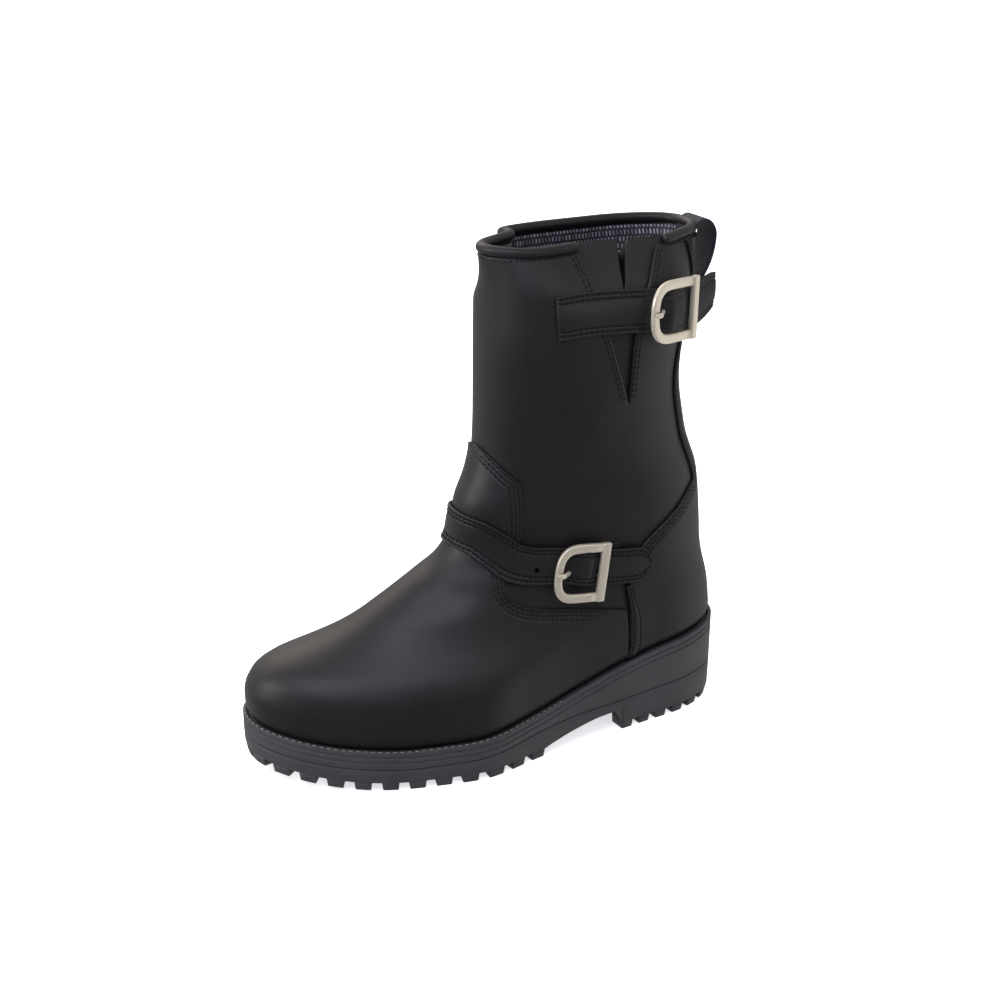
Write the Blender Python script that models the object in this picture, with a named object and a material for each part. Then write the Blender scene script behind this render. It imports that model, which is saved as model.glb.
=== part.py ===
"""Left motorcycle boot: lugged sole unit, hollow upper, overlays, two buckled straps, piping and pull loop.

All sizes are in millimetres and MM turns them into metres. "along" runs from the back of the sole to the
toe, "across" from the middle line to the wearer's left (the outer side), "up" from the floor, and "rise" is
the height above the feather line, where the upper meets the welt. A "share" is a place round the boot: 0 at
the back, 0.25 on the outer side, 0.5 at the front, 0.75 on the inner side. +X points to the toe and +Y to
the outer side.
"""

import bmesh
import bpy
import numpy as np

MM = 0.001

# Driving sizes
SOLE_LENGTH = 305.0
SOLE_CENTRE = 152.75       # along, the middle of the welt's length
SOLE_MIDDLE = -2.2         # across, the middle of the welt's width
BALL_HALF_WIDTH = 50.0     # of the upper
COLLAR_RISE = 251.0
TOE_SWING = 18.0           # how far the toe leans to the inner side
TOE_SPRING = 11.0          # how far the tip of the tread lifts off the floor
SPRING_START = 225.0       # along, where the tread starts to lift

# Thicknesses and gaps
GAP = 0.3
UPPER_WALL = 2.0
OVERLAY_WALL = 1.3
STRAP_WALL = 1.8
STRAP_LIFT = 2.7           # the ankle strap's underside over the upper, clear of the overlays
INSOLE_WALL = 3.0
INSOLE_GAP = 1.0
WELT_HEIGHT = 4.2
SOLE_REACH = 5.6           # from the upper's outside to the edge of the sole
WELT_REACH = 6.1
WELT_INSIDE = 0.7

# The front profile from the toe up to the collar
FRONT_RISE = [0, 14, 23, 31, 38, 44, 50, 56, 62, 69, 78, 90, 104, 120, 138, 160, 195, 230, 255]
FRONT_ALONG = [299, 299, 295.5, 286.5, 270, 254, 240, 228.5, 217, 203.5,
               187, 176, 170, 165.5, 163.5, 162.5, 162, 162.3, 164]

# The back profile from the heel up to the collar
BACK_RISE = [0, 22, 48, 78, 108, 140, 175, 215, 255]
BACK_ALONG = [6.5, 9, 13.5, 16.5, 20.5, 31.5, 37, 32, 22.5]

# The plan of the foot at the feather line, as shares of the ball's half width
PLAN_ALONG = [5, 50, 85, 118, 150, 185, 215, 299]
PLAN_OUTER = [0.62, 0.65, 0.71, 0.76, 0.87, 1.02, 0.99, 0.99]
PLAN_INNER = [0.62, 0.65, 0.66, 0.67, 0.73, 0.85, 0.94, 0.97]

# The leg's half widths
LEG_RISE = [60, 110, 150, 195, 230, 255]
LEG_OUTER = [37, 38.5, 42, 43, 40.5, 28]
LEG_INNER = [35, 36.5, 40, 42, 40, 36]

# Length of the rounded front and back end of each level's plan curve
ROUND_RISE = [0, 24, 44, 60, 80, 110, 150, 255]
ROUND_FRONT_OUTER = [119, 140, 185, 170, 130, 90, 68, 58]
ROUND_FRONT_INNER = [80, 105, 160, 160, 125, 90, 68, 66]
ROUND_BACK = [46, 46, 47, 49, 51, 55, 61, 48]
ROUND_POWER = 2.12

# The slack collar's dents, as share, spread and depth along the boot: in at the front, askew at the back
DENTS = [(0.552, 0.05, 17.0), (0.085, 0.05, -6.0), (0.93, 0.05, 3.0)]
DENT_START = 225.0         # rise

# Heights along the sole: the feather line and the joint between midsole and outsole
HEIGHT_ALONG = [0, 45, 85, 112, 140, 170, 200, 225, 260, 305]
FEATHER_UP = [55, 51, 44.9, 37.7, 31.2, 27.4, 25.5, 25.2, 27.7, 35.5]
JOINT_UP = [24.5, 22.8, 21, 20.3, 18.6, 15.7, 13.8, 13.4, 15.8, 23.6]
LEG_BASE_UP = 47.0         # what rise is measured from once the rows are level

# Levels of the upper's grid and the places of its columns
ROW_RISES = [-4.2, 1.7, 7, 15, 23, 31, 38, 44, 50, 56, 62, 70, 80, 92, 106, 122,
             140, 160, 182, 206, 220, 231, 238, 245, 251]
HALF_COLUMNS = 20
LOOP_SAMPLES = 160

# Tread
LUG_DEPTH = 5.0
LUG_DRAFT = 0.86           # a lug's foot against its root
HEEL_BREAST = 84.0         # along, the front of the heel
TREAD_BACK = 141.0         # along, the back of the forefoot's tread
FOREFOOT_LUGS = 12
HEEL_LUGS = 7
WAIST_CELLS = 4
LUG_SHARE = 0.66           # of the pitch
LUG_REACH = 13.0           # from the sole's edge inwards
BAR_REACH = 19.0           # from the sole's edge to the middle bars
ARCH_ALONG = [84, 100, 120, 136, 142]
ARCH_UP = [14.5, 13.5, 10, 6.5, 5.0]

# Midsole side: depth under the sole's top and how far each row is set in
RIB_DEPTH = [0, 3.4, 3.7, 4.1, 4.4, 7.2, 7.5, 7.9, 8.2]
RIB_SET_IN = [0, 0, 1.1, 1.1, 0, 0, 1.1, 1.1, 0]

# Side outlines of the overlays as (along, up)
VAMP_EDGE = [(81, -10), (80, 50), (82, 80), (105, 86), (124, 90), (140, 93), (151.5, 96.5), (158, 101),
             (160.5, 107), (159, 116), (150, 131), (148, 140), (148, 156), (148.6, 169), (155, 176), (163.5, 187),
             (175, 197), (330, 197), (330, -10)]
COUNTER_EDGE = [(80.4, -10), (79.4, 50), (80, 72), (81, 95), (72, 120), (66, 126), (47, 139), (30, 151),
                (8, 160), (-20, 162), (-20, -10)]
BACKSTAY_UP = [138, 212, 302]
BACKSTAY_HALF = [24, 28, 19]

# V-shaped expansion panel on the outer side of the leg, as (along, up)
NOTCH_APEX = (88.3, 212.0)
NOTCH_FRONT = (115.5, 307.0)
NOTCH_BACK = (70.0, 307.0)
GUSSET_MARGIN = 4.0        # how far the panel runs on behind the upper
GUSSET_GAP = 1.2
GUSSET_WALL = 1.2
GUSSET_TOP = 298.0
GUSSET_PLACES = [0, 0.25, 0.46, 0.5, 0.54, 0.75, 1]
GUSSET_FOLD = [0, 0, 0, 5.0, 0, 0, 0]

# Ankle strap: its middle line as shares and rises, from the inner anchor round the front to the outer tip
ANKLE_SHARE = [0.80, 0.72, 0.64, 0.57, 0.50, 0.46, 0.43, 0.39, 0.35, 0.31, 0.25, 0.20, 0.145]
ANKLE_RISE = [62, 70, 79, 88, 93.5, 92.3, 87.6, 80.5, 76.8, 74.8, 70, 65, 61]
ANKLE_HALF = 11.5
ANKLE_PIN = 0.268          # share of the buckle's pin
CHAPE_SHARE = 0.192        # back end of the tab that holds the buckle
TIP_SHARE = 0.138          # where the rounded tip ends
TIP_ROUND = 0.032          # share over which it narrows

# Collar strap from its front anchor to the buckle
COLLAR_SHARE = [0.36, 0.30, 0.25, 0.20, 0.15]
COLLAR_STRAP_RISE = [219, 220, 219.5, 218.5, 217]
COLLAR_HALF = 12.0
COLLAR_PIN = 0.15
COLLAR_TIP_STEPS = [4, 9, 13, 20, 30, 36]
COLLAR_TIP_WIDTHS = [1, 1, 1, 1, 0.95, 0.45]

# Buckles
BUCKLE_LENGTH = 40.0
BUCKLE_HEIGHT = 36.0
BUCKLE_BAND = 4.4
BUCKLE_WALL = 3.0
BUCKLE_BEND = 14.0         # length of the rounded end
BUCKLE_LIFT = 5.2          # underside over the upper
PIN_RADIUS = 1.2
PIN_PLACE = 2.0            # from the frame's middle towards the keeper bar
PIN_LIFT = 4.4
KEEPER_SIDE = [-2.6, 2.8, 2.8, 1.8, -1.6, -2.6]
KEEPER_UP = [0.2, 0.2, 2.8, 3.6, 3.6, 2.8]
KEEPER_OVERHANG = 2.6
PRONG_PLACE = [0.3, -3.0, -9.0, -13.5, -19.5]
PRONG_LIFT = [4.4, 5.2, 7.6, 9.5, 9.7]
PRONG_RADIUS = 1.0
HOLE_ENDS = (-15.5, -0.6)  # the slot in the strap for the prong
HOLE_HALF = 1.8
HUMP_FLAT = 3.0            # the strap passes over the pin, level this far to each side
HUMP_END = 13.0

# Piping and pull loop
PIPING_SIDE = [-1.6, 1.6, 2.3, 2.3, 1.2, -1.2, -2.3, -2.3]
PIPING_UP = [0.8, 0.8, 1.8, 4.3, 6.0, 6.0, 4.3, 1.8]
PIPING_COUNT = 34
LOOP_WIDTH = 20.0
LOOP_WALL = 1.5
LOOP_ALONG = [27, 22.5, 15.5, 12.5, 15.5, 22.5, 28, 30.6]
LOOP_UP = [305.4, 306.2, 302.5, 293, 279, 267.5, 258, 250]

COLOURS = {"leather": (0.018, 0.017, 0.019), "rubber": (0.045, 0.044, 0.05), "metal": (0.62, 0.57, 0.47),
           "webbing": (0.012, 0.012, 0.022), "board": (0.05, 0.05, 0.05)}


def smooth_table(xs, ys):
    """A monotone cubic through table rows, as a function."""
    xs, ys = np.asarray(xs, float), np.asarray(ys, float)
    step = np.diff(xs)
    slope = np.diff(ys) / step
    grade = np.zeros_like(ys)
    for i in range(1, len(xs) - 1):
        if slope[i - 1] * slope[i] > 0:
            a, b = 2 * step[i] + step[i - 1], step[i] + 2 * step[i - 1]
            grade[i] = (a + b) / (a / slope[i - 1] + b / slope[i])
    grade[0], grade[-1] = slope[0], slope[-1]

    def read(x):
        x = np.clip(x, xs[0], xs[-1])
        i = np.clip(np.searchsorted(xs, x) - 1, 0, len(step) - 1)
        t = (x - xs[i]) / step[i]
        h00, h10 = (1 + 2 * t) * (1 - t) ** 2, t * (1 - t) ** 2
        h01, h11 = t * t * (3 - 2 * t), t * t * (t - 1)
        return h00 * ys[i] + h10 * step[i] * grade[i] + h01 * ys[i + 1] + h11 * step[i] * grade[i + 1]

    return read


def ease(x, low, high):
    t = np.clip((np.asarray(x, float) - low) / (high - low), 0, 1)
    return t * t * (3 - 2 * t)


front_along = smooth_table(FRONT_RISE, FRONT_ALONG)
back_along = smooth_table(BACK_RISE, BACK_ALONG)
plan_outer = smooth_table(PLAN_ALONG, PLAN_OUTER)
plan_inner = smooth_table(PLAN_ALONG, PLAN_INNER)
leg_outer = smooth_table(LEG_RISE, LEG_OUTER)
leg_inner = smooth_table(LEG_RISE, LEG_INNER)
round_front_outer = smooth_table(ROUND_RISE, ROUND_FRONT_OUTER)
round_front_inner = smooth_table(ROUND_RISE, ROUND_FRONT_INNER)
round_back = smooth_table(ROUND_RISE, ROUND_BACK)
feather_up = smooth_table(HEIGHT_ALONG, FEATHER_UP)
joint_up = smooth_table(HEIGHT_ALONG, JOINT_UP)
arch_up = smooth_table(ARCH_ALONG, ARCH_UP)


def sole_top_up(along):
    return feather_up(along) - WELT_HEIGHT - GAP


def spring_up(along):
    """How far the tread is off the floor: nothing up to the ball, then rising to the tip."""
    return TOE_SPRING * np.clip((along - SPRING_START) / (SOLE_LENGTH - SPRING_START), 0, None) ** 2


def round_end(distance, length):
    """1 away from an end, falling to 0 at it along a superellipse."""
    t = np.clip(1 - distance / length, 0, 1)
    return (1 - t**ROUND_POWER) ** (1 / ROUND_POWER)


def half_width(along, rise, outer):
    """Half width of the upper at a station and a height, on the outer or the inner side."""
    plan, leg, front_round = (
        (plan_outer, leg_outer, round_front_outer) if outer else (plan_inner, leg_inner, round_front_inner)
    )
    low = max(rise, 0.0)
    mix = ease(low, 20, 115)
    full = BALL_HALF_WIDTH * plan(along) * (1 - mix) + leg(low) * mix
    front = round_end(front_along(low) - along, front_round(low))
    back = round_end(along - back_along(low), round_back(low))
    return full * front * back


def loop_points(rise, shares):
    """Points of the plan curve at one height, at shares of each side's length."""
    back, front = back_along(max(rise, 0.0)), front_along(max(rise, 0.0))
    turn = np.linspace(0, np.pi, LOOP_SAMPLES)
    along = (back + front) / 2 - (front - back) / 2 * np.cos(turn)
    middle = -TOE_SWING * ease(along, 150, 420) / ease(SOLE_LENGTH, 150, 420)
    shares = np.asarray(shares, float) % 1.0
    on_outer = shares <= 0.5
    position = np.where(on_outer, shares * 2, 2 - shares * 2)
    found = []
    for outer in (True, False):
        across = middle + half_width(along, rise, outer) * (1 if outer else -1)
        run = np.concatenate([[0], np.cumsum(np.hypot(np.diff(along), np.diff(across)))])
        run /= run[-1]
        found.append((np.interp(position, run, along), np.interp(position, run, across)))
    return np.where(on_outer, found[0][0], found[1][0]), np.where(on_outer, found[0][1], found[1][1])


def skin_at(shares, rise):
    """Points on the upper's outside at one height: rows follow the sole low down, level in the leg."""
    x, y = loop_points(rise, shares)
    level = ease(rise, 0, 115)
    slack = ease(rise, DENT_START, COLLAR_RISE)
    for share, spread, depth in DENTS:
        away = (np.asarray(shares, float) - share + 0.5) % 1.0 - 0.5
        x = x - depth * slack * np.exp(-((away / spread) ** 2))
    return np.stack([x, y, rise + feather_up(x) * (1 - level) + LEG_BASE_UP * level], -1)


def skin_frame(shares, rise):
    """Point, direction round the boot, direction up it and outward normal on the upper's outside."""
    step, lift = 0.004, 1.5
    shares = np.asarray(shares, float)
    round_way = skin_at(shares + step, rise) - skin_at(shares - step, rise)
    up_way = skin_at(shares, rise + lift) - skin_at(shares, rise - lift)
    normal = np.cross(up_way, round_way)
    unit = [v / np.linalg.norm(v, axis=-1, keepdims=True) for v in (round_way, up_way, normal)]
    return skin_at(shares, rise), unit[0], unit[1], unit[2]


def skin(shares, rise, offset):
    point, _, _, normal = skin_frame(shares, rise)
    return point + normal * offset


def outline(shares, offset):
    """The feather line's plan curve moved outwards, as along and across."""
    step = 0.003
    x, y = loop_points(0.0, shares)
    ahead, behind = loop_points(0.0, np.asarray(shares) + step), loop_points(0.0, np.asarray(shares) - step)
    way = np.stack([ahead[0] - behind[0], ahead[1] - behind[1]], -1)
    way /= np.linalg.norm(way, axis=-1, keepdims=True)
    return x - way[..., 1] * offset, y + way[..., 0] * offset


def half_shares(count):
    """Shares from the back to the front on one side, closer together at both ends."""
    turn = np.linspace(0, 1, count + 1)
    return turn / 2 - 0.02 * np.sin(2 * np.pi * turn) / 2


def ring_shares(count):
    half = half_shares(count)
    return np.concatenate([half, 1 - half[-2:0:-1]])


def to_world(points):
    """From along, across and up to the boot's own frame: middle of the sole, on the floor."""
    return (np.asarray(points, float) - np.array([SOLE_CENTRE, SOLE_MIDDLE, 0])) * MM


def material(kind):
    mat = bpy.data.materials.get(kind)
    if mat is None:
        mat = bpy.data.materials.new(kind)
        mat.use_nodes = True
        shader = mat.node_tree.nodes["Principled BSDF"]
        shader.inputs["Base Color"].default_value = (*COLOURS[kind], 1)
        shader.inputs["Roughness"].default_value = 0.3 if kind == "metal" else 0.5
        shader.inputs["Metallic"].default_value = 1.0 if kind == "metal" else 0.0
    return mat


def finish(name, bm, kind, collection):
    """Turns a bmesh into a named object with its material."""
    bmesh.ops.recalc_face_normals(bm, faces=bm.faces)
    mesh = bpy.data.meshes.new(name)
    bm.to_mesh(mesh)
    bm.free()
    if kind:
        mesh.materials.append(material(kind))
    obj = bpy.data.objects.new(name, mesh)
    collection.objects.link(obj)
    return obj


def add_ring(bm, points):
    return [bm.verts.new(p) for p in to_world(points)]


def add_side(bm, low, high, closed=True):
    """Quads between two rings of points."""
    count = len(low)
    for i in range(count if closed else count - 1):
        j = (i + 1) % count
        bm.faces.new((low[i], low[j], high[j], high[i]))


def add_ladder(bm, ring):
    """Closes a ring that starts at the back and has as many points on each side."""
    half = len(ring) // 2
    outer, inner = ring[: half + 1], [ring[0]] + ring[: half - 1 : -1]
    for i in range(half):
        corners = [outer[i], outer[i + 1], inner[i + 1], inner[i]]
        bm.faces.new([v for k, v in enumerate(corners) if v not in corners[:k]])


def slab(name, rings, kind, collection):
    """A closed solid through rings stacked upwards."""
    bm = bmesh.new()
    rows = [add_ring(bm, ring) for ring in rings]
    for low, high in zip(rows, rows[1:]):
        add_side(bm, low, high)
    add_ladder(bm, rows[0])
    add_ladder(bm, rows[-1])
    return finish(name, bm, kind, collection)


def tube(name, rings, kind, collection, closed=False):
    """A closed solid through rings along a path, capped at both ends or joined up."""
    bm = bmesh.new()
    rows = [add_ring(bm, ring) for ring in rings]
    for low, high in zip(rows, rows[1:]):
        add_side(bm, low, high)
    if closed:
        add_side(bm, rows[-1], rows[0])
    else:
        bm.faces.new(rows[0])
        bm.faces.new(rows[-1])
    return finish(name, bm, kind, collection)


def apply_modifiers(obj):
    graph = bpy.context.evaluated_depsgraph_get()
    mesh = bpy.data.meshes.new_from_object(obj.evaluated_get(graph))
    obj.modifiers.clear()
    obj.data = mesh


def boolean(obj, cutter, operation):
    cut = obj.modifiers.new(operation.lower(), "BOOLEAN")
    cut.operation = operation
    cut.solver = "EXACT"
    cut.object = cutter


def as_cutter(obj):
    obj.display_type = "WIRE"
    obj.hide_render = True
    return obj


def prism(name, corners, place, near, far, cutters):
    """A cutter: a flat outline carried from one side of the boot to the other."""
    rings = [[place(a, b, depth) for a, b in corners] for depth in (near, far)]
    return as_cutter(tube(name, rings, None, cutters))


def from_side(along, up, depth):
    return (along, depth, up)


def from_back(across, up, depth):
    return (depth, across, up)


def shell(name, rises, inner, wall, kind, collection):
    """A ring-shaped sheet of leather over the upper's grid, open at top and bottom."""
    bm = bmesh.new()
    shares = ring_shares(HALF_COLUMNS)
    rows = []
    for offset in (inner, inner + wall):
        rows.append([add_ring(bm, skin(shares, rise, offset)) for rise in rises])
    for layer in rows:
        for low, high in zip(layer, layer[1:]):
            add_side(bm, low, high)
    for edge in (0, -1):
        add_side(bm, rows[0][edge], rows[1][edge])
    bmesh.ops.triangulate(bm, faces=bm.faces, quad_method="FIXED")
    return finish(name, bm, kind, collection)


def band_rings(shares, rises, half, inside, wall):
    """Rings of a strap that lies on the upper, square to its middle line, with a slight crown across it."""
    count, step, lift = len(shares), 0.004, 1.5
    half, inside = np.broadcast_to(half, count), np.broadcast_to(inside, count)
    ways = np.gradient(np.array([skin_at(share, rise) for share, rise in zip(shares, rises)]), axis=0)
    rings = []
    for share, rise, way, width, low in zip(shares, rises, ways, half, inside):
        side_way = np.cross(skin_frame(share, rise)[3], way)
        side_way *= np.sign(side_way[2]) / np.linalg.norm(side_way)
        per_share = (skin_at(share + step, rise) - skin_at(share - step, rise)) / (2 * step)
        per_rise = (skin_at(share, rise + lift) - skin_at(share, rise - lift)) / (2 * lift)
        move = np.linalg.lstsq(np.stack([per_share, per_rise], -1), side_way, rcond=None)[0] * width
        corners = []
        for side, height in ((-1, 0), (0, 0), (1, 0), (1, 0.75), (0, 1), (-1, 0.75)):
            corners.append(skin(share + side * move[0], rise + side * move[1], low + height * wall))
        rings.append(np.array(corners))
    return rings


def buckle(prefix, centre, strap_way, normal, boot, cutters):
    """A D-shaped frame with its keeper bar and pin, the prong, and the cutter for the prong's hole."""
    u = strap_way - normal * np.dot(strap_way, normal)
    u /= np.linalg.norm(u)
    v = np.cross(normal, u)
    v = v if v[2] > 0 else -v

    def local(a, b, n):
        return centre + u * a + v * b + normal * n

    half_l, half_h = BUCKLE_LENGTH / 2 - BUCKLE_BAND / 2, BUCKLE_HEIGHT / 2 - BUCKLE_BAND / 2
    path = [(half_l, -half_h), (half_l, 0), (half_l, half_h), (half_l / 2, half_h)]
    for t in np.linspace(np.pi / 2, 3 * np.pi / 2, 11):
        path.append((-half_l + BUCKLE_BEND * (1 + np.cos(t)), half_h * np.sin(t)))
    path = np.array(path + [(half_l / 2, -half_h)])
    mid, low = BUCKLE_BAND / 2, BUCKLE_WALL * 3 / 4
    sides = (-mid, mid, mid, mid / 2, -mid / 2, -mid)
    lifts = (0, 0, low, BUCKLE_WALL, BUCKLE_WALL, low)
    rings = []
    for k, p in enumerate(path):
        before, after = p - path[k - 1], path[(k + 1) % len(path)] - p
        before, after = before / np.linalg.norm(before), after / np.linalg.norm(after)
        way = (before + after) / np.linalg.norm(before + after)
        out = np.array([way[1], -way[0]]) / np.dot(way, before)
        rings.append([local(*(p + out * a), BUCKLE_LIFT + n) for a, n in zip(sides, lifts)])
    frame = tube(prefix + "_buckle_frame", rings, "metal", boot, closed=True)

    turn = np.linspace(0, 2 * np.pi, 9)[:-1]
    side, lift = PIN_PLACE + PIN_RADIUS * np.cos(turn), PIN_LIFT + PIN_RADIUS * np.sin(turn)
    pin = [[local(a, b, n) for a, n in zip(side, lift)] for b in (-half_h, half_h)]
    side, lift = half_l + np.array(KEEPER_SIDE), BUCKLE_LIFT + np.array(KEEPER_UP)
    end = half_h + KEEPER_OVERHANG
    keeper = [[local(a, b, n) for a, n in zip(side, lift)] for b in (-end, end)]
    boolean(frame, as_cutter(tube(prefix + "_pin", pin, None, cutters)), "UNION")
    boolean(frame, as_cutter(tube(prefix + "_keeper", keeper, None, cutters)), "UNION")
    apply_modifiers(frame)

    wide, tall = PRONG_RADIUS * 1.1 * np.cos(turn), PRONG_RADIUS * np.sin(turn)
    prong = [[local(a, b, n + m) for b, m in zip(wide, tall)] for a, n in zip(PRONG_PLACE, PRONG_LIFT)]
    tube(prefix + "_buckle_prong", prong, "metal", boot)
    far, near = HOLE_ENDS
    slot = ((far, -HOLE_HALF), (near, -HOLE_HALF), (near, HOLE_HALF), (far, HOLE_HALF))
    slot = [[local(a, b, n) for a, b in slot] for n in (0, BUCKLE_LIFT * 2.5)]
    return as_cutter(tube(prefix + "_prong_hole", slot, None, cutters))


def hump(distance, low):
    """How far a strap rises from its own lift to pass over the buckle's pin, at a distance along it."""
    high = PIN_LIFT + PIN_RADIUS + GAP
    return (high - low) * (1 - ease(np.abs(distance), HUMP_FLAT, HUMP_END))


def build_sole(boot):
    shares = ring_shares(HALF_COLUMNS + 4)
    x, y = outline(shares, SOLE_REACH)
    rows = [np.stack([x, y, joint_up(x) + GAP], -1)]
    for depth, set_in in zip(RIB_DEPTH[::-1], RIB_SET_IN[::-1]):
        px, py = outline(shares, SOLE_REACH - set_in)
        lowest = joint_up(x) + GAP + 0.1 + 0.1 * (RIB_DEPTH[-1] - depth)
        rows.append(np.stack([px, py, np.maximum(sole_top_up(x) - depth, lowest)], -1))
    slab("midsole", rows, "rubber", boot)

    low, high = feather_up(x) - WELT_HEIGHT, feather_up(x)
    lip = ((WELT_INSIDE, low), (SOLE_REACH - 0.3, low), (WELT_REACH, low + 0.9), (WELT_REACH, low + 2.9),
           (WELT_REACH - 0.9, high), (WELT_INSIDE, high))
    bm = bmesh.new()
    rows = [add_ring(bm, np.stack([*outline(shares, reach), height], -1)) for reach, height in lip]
    for first, second in zip(rows, rows[1:] + rows[:1]):
        add_side(bm, first, second)
    finish("welt", bm, "rubber", boot)

    px, py = outline(shares, -UPPER_WALL - INSOLE_GAP)
    base = sole_top_up(px) + GAP
    slab("insole", [np.stack([px, py, base + h], -1) for h in (0, INSOLE_WALL)], "board", boot)
    build_outsole(boot)


def rail_shares(outer):
    """Stations of the tread along one side: heel lugs, waist and forefoot lugs."""
    fine = np.linspace(0, 0.5, 600)
    along = outline(fine if outer else 1 - fine, SOLE_REACH)[0]
    breast, back = np.interp([HEEL_BREAST, TREAD_BACK], along, fine)
    end = 0.006

    def pitches(start, stop, count):
        step = (stop - start) / (count - 1 + LUG_SHARE)
        marks = []
        for k in range(count):
            marks += [start + k * step, start + (k + LUG_SHARE) * step]
        return marks

    heel = pitches(end * 2.2, breast, HEEL_LUGS)
    waist = list(np.linspace(breast + 0.002, back, WAIST_CELLS + 1)[:-1])
    forefoot = pitches(back, 0.5 - end, FOREFOOT_LUGS)
    shares = np.array(heel + waist + forefoot)
    kinds = ["heel"] * len(heel) + ["waist"] * len(waist) + ["forefoot"] * len(forefoot)
    return (shares if outer else 1 - shares), kinds


def build_outsole(boot):
    """The tread: a slab under the midsole, with lugs round its edge and bars down its middle."""
    outer, kinds = rail_shares(True)
    ring = np.concatenate([outer, rail_shares(False)[0][::-1]])
    kinds = kinds + kinds[::-1]
    count, half = len(ring), len(outer)
    x, y = outline(ring, SOLE_REACH)
    lug_root = np.where([kind == "waist" for kind in kinds], arch_up(x), LUG_DEPTH + spring_up(x))
    bm = bmesh.new()
    top = add_ring(bm, np.stack([x, y, joint_up(x)], -1))
    rows = []
    for reach in (0.4, LUG_REACH, BAR_REACH):
        rows.append(add_ring(bm, np.stack([*outline(ring, SOLE_REACH - reach), lug_root], -1)))
    add_side(bm, top, rows[0])
    add_side(bm, rows[1], rows[2])
    lugs = []
    for i in range(count):
        j = (i + 1) % count
        face = bm.faces.new((rows[0][i], rows[0][j], rows[1][j], rows[1][i]))
        station = min(i, count - 1 - i, j, count - 1 - j) if i not in (half - 1, count - 1) else 1
        tread = kinds[i] == kinds[j] != "waist"
        if tread and (station - kinds.index(kinds[i])) % 2 == 0:
            lugs.append(face)
    for i in range(half - 1):
        corners = (i, i + 1, count - 2 - i, count - 1 - i)
        bm.faces.new([top[k] for k in corners])
        face = bm.faces.new([rows[2][k] for k in corners])
        if kinds[i] == kinds[i + 1] != "waist" and (i - kinds.index(kinds[i])) % 4 == 0:
            lugs.append(face)
    bmesh.ops.recalc_face_normals(bm, faces=bm.faces)
    for face in bmesh.ops.extrude_discrete_faces(bm, faces=lugs)["faces"]:
        middle = face.calc_center_median()
        for vert in face.verts:
            vert.co.x = middle.x + (vert.co.x - middle.x) * LUG_DRAFT
            vert.co.y = middle.y + (vert.co.y - middle.y) * LUG_DRAFT
            vert.co.z = float(spring_up(vert.co.x / MM + SOLE_CENTRE)) * MM
    finish("outsole", bm, "rubber", boot)


def build_upper(boot, cutters):
    upper = shell("upper", ROW_RISES, -UPPER_WALL, UPPER_WALL, "leather", boot)
    corners = [NOTCH_APEX, NOTCH_FRONT, NOTCH_BACK]
    boolean(upper, prism("notch_cutter", corners, from_side, 10, 90, cutters), "DIFFERENCE")
    apply_modifiers(upper)

    rises = ROW_RISES[1:]
    vamp = shell("vamp", rises, GAP, OVERLAY_WALL, "leather", boot)
    boolean(vamp, prism("vamp_cutter", VAMP_EDGE, from_side, -120, 120, cutters), "INTERSECT")
    counter = shell("counter", rises, GAP, OVERLAY_WALL, "leather", boot)
    boolean(counter, prism("counter_cutter", COUNTER_EDGE, from_side, -120, 120, cutters), "INTERSECT")
    backstay = shell("backstay", rises, GAP, OVERLAY_WALL, "leather", boot)
    sides = list(zip(BACKSTAY_HALF, BACKSTAY_UP))
    corners = sides + [(-half, up) for half, up in sides[::-1]]
    boolean(backstay, prism("backstay_cutter", corners, from_back, -30, 75, cutters), "INTERSECT")
    corners = [(a, u + 2 * GAP) for a, u in COUNTER_EDGE[5:10]] + [(-20, 310), (80, 310), (80, 126.6)]
    boolean(backstay, prism("backstay_foot_cutter", corners, from_side, -120, 120, cutters), "INTERSECT")
    for overlay in (vamp, counter, backstay):
        apply_modifiers(overlay)


def build_gusset(boot):
    """The pleated panel behind the V, wider than the notch, its fold deeper towards the collar."""
    fine = np.linspace(0.1, 0.4, 300)
    rings = []
    for t in np.linspace(0.06, 1.0, 14):
        up = NOTCH_APEX[1] + (GUSSET_TOP - NOTCH_APEX[1]) * t
        front = NOTCH_APEX[0] + (NOTCH_FRONT[0] - NOTCH_APEX[0]) * t + GUSSET_MARGIN
        back = NOTCH_APEX[0] + (NOTCH_BACK[0] - NOTCH_APEX[0]) * t - GUSSET_MARGIN
        rise = up - LEG_BASE_UP
        ends = np.interp([back, front], skin_at(fine, rise)[:, 0], fine)
        places = ends[0] + (ends[1] - ends[0]) * np.array(GUSSET_PLACES)
        fold = t * np.array(GUSSET_FOLD)[:, None]
        outside = skin(places, rise, -UPPER_WALL - GUSSET_GAP - fold)
        inside = skin(places, rise, -UPPER_WALL - GUSSET_GAP - GUSSET_WALL - fold)
        rings.append(np.concatenate([outside, inside[::-1]]))
    tube("gusset", rings, "leather", boot)


def build_piping(boot):
    """Rolled edge on the collar, from one side of the expansion panel round to the other."""
    fine = np.linspace(0.1, 0.4, 300)
    ends = np.interp([NOTCH_FRONT[0] - 0.5, NOTCH_BACK[0] + 0.5], skin_at(fine, COLLAR_RISE)[:, 0], fine)
    rings = []
    for share in np.linspace(ends[0], ends[1] + 1.0, PIPING_COUNT):
        point, _, _, normal = skin_frame(share, COLLAR_RISE)
        out = np.array([normal[0], normal[1], 0]) / np.hypot(normal[0], normal[1])
        base = point - out * UPPER_WALL / 2
        rings.append([base + out * a + np.array([0, 0, b]) for a, b in zip(PIPING_SIDE, PIPING_UP)])
    tube("collar_piping", rings, "leather", boot)


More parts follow.
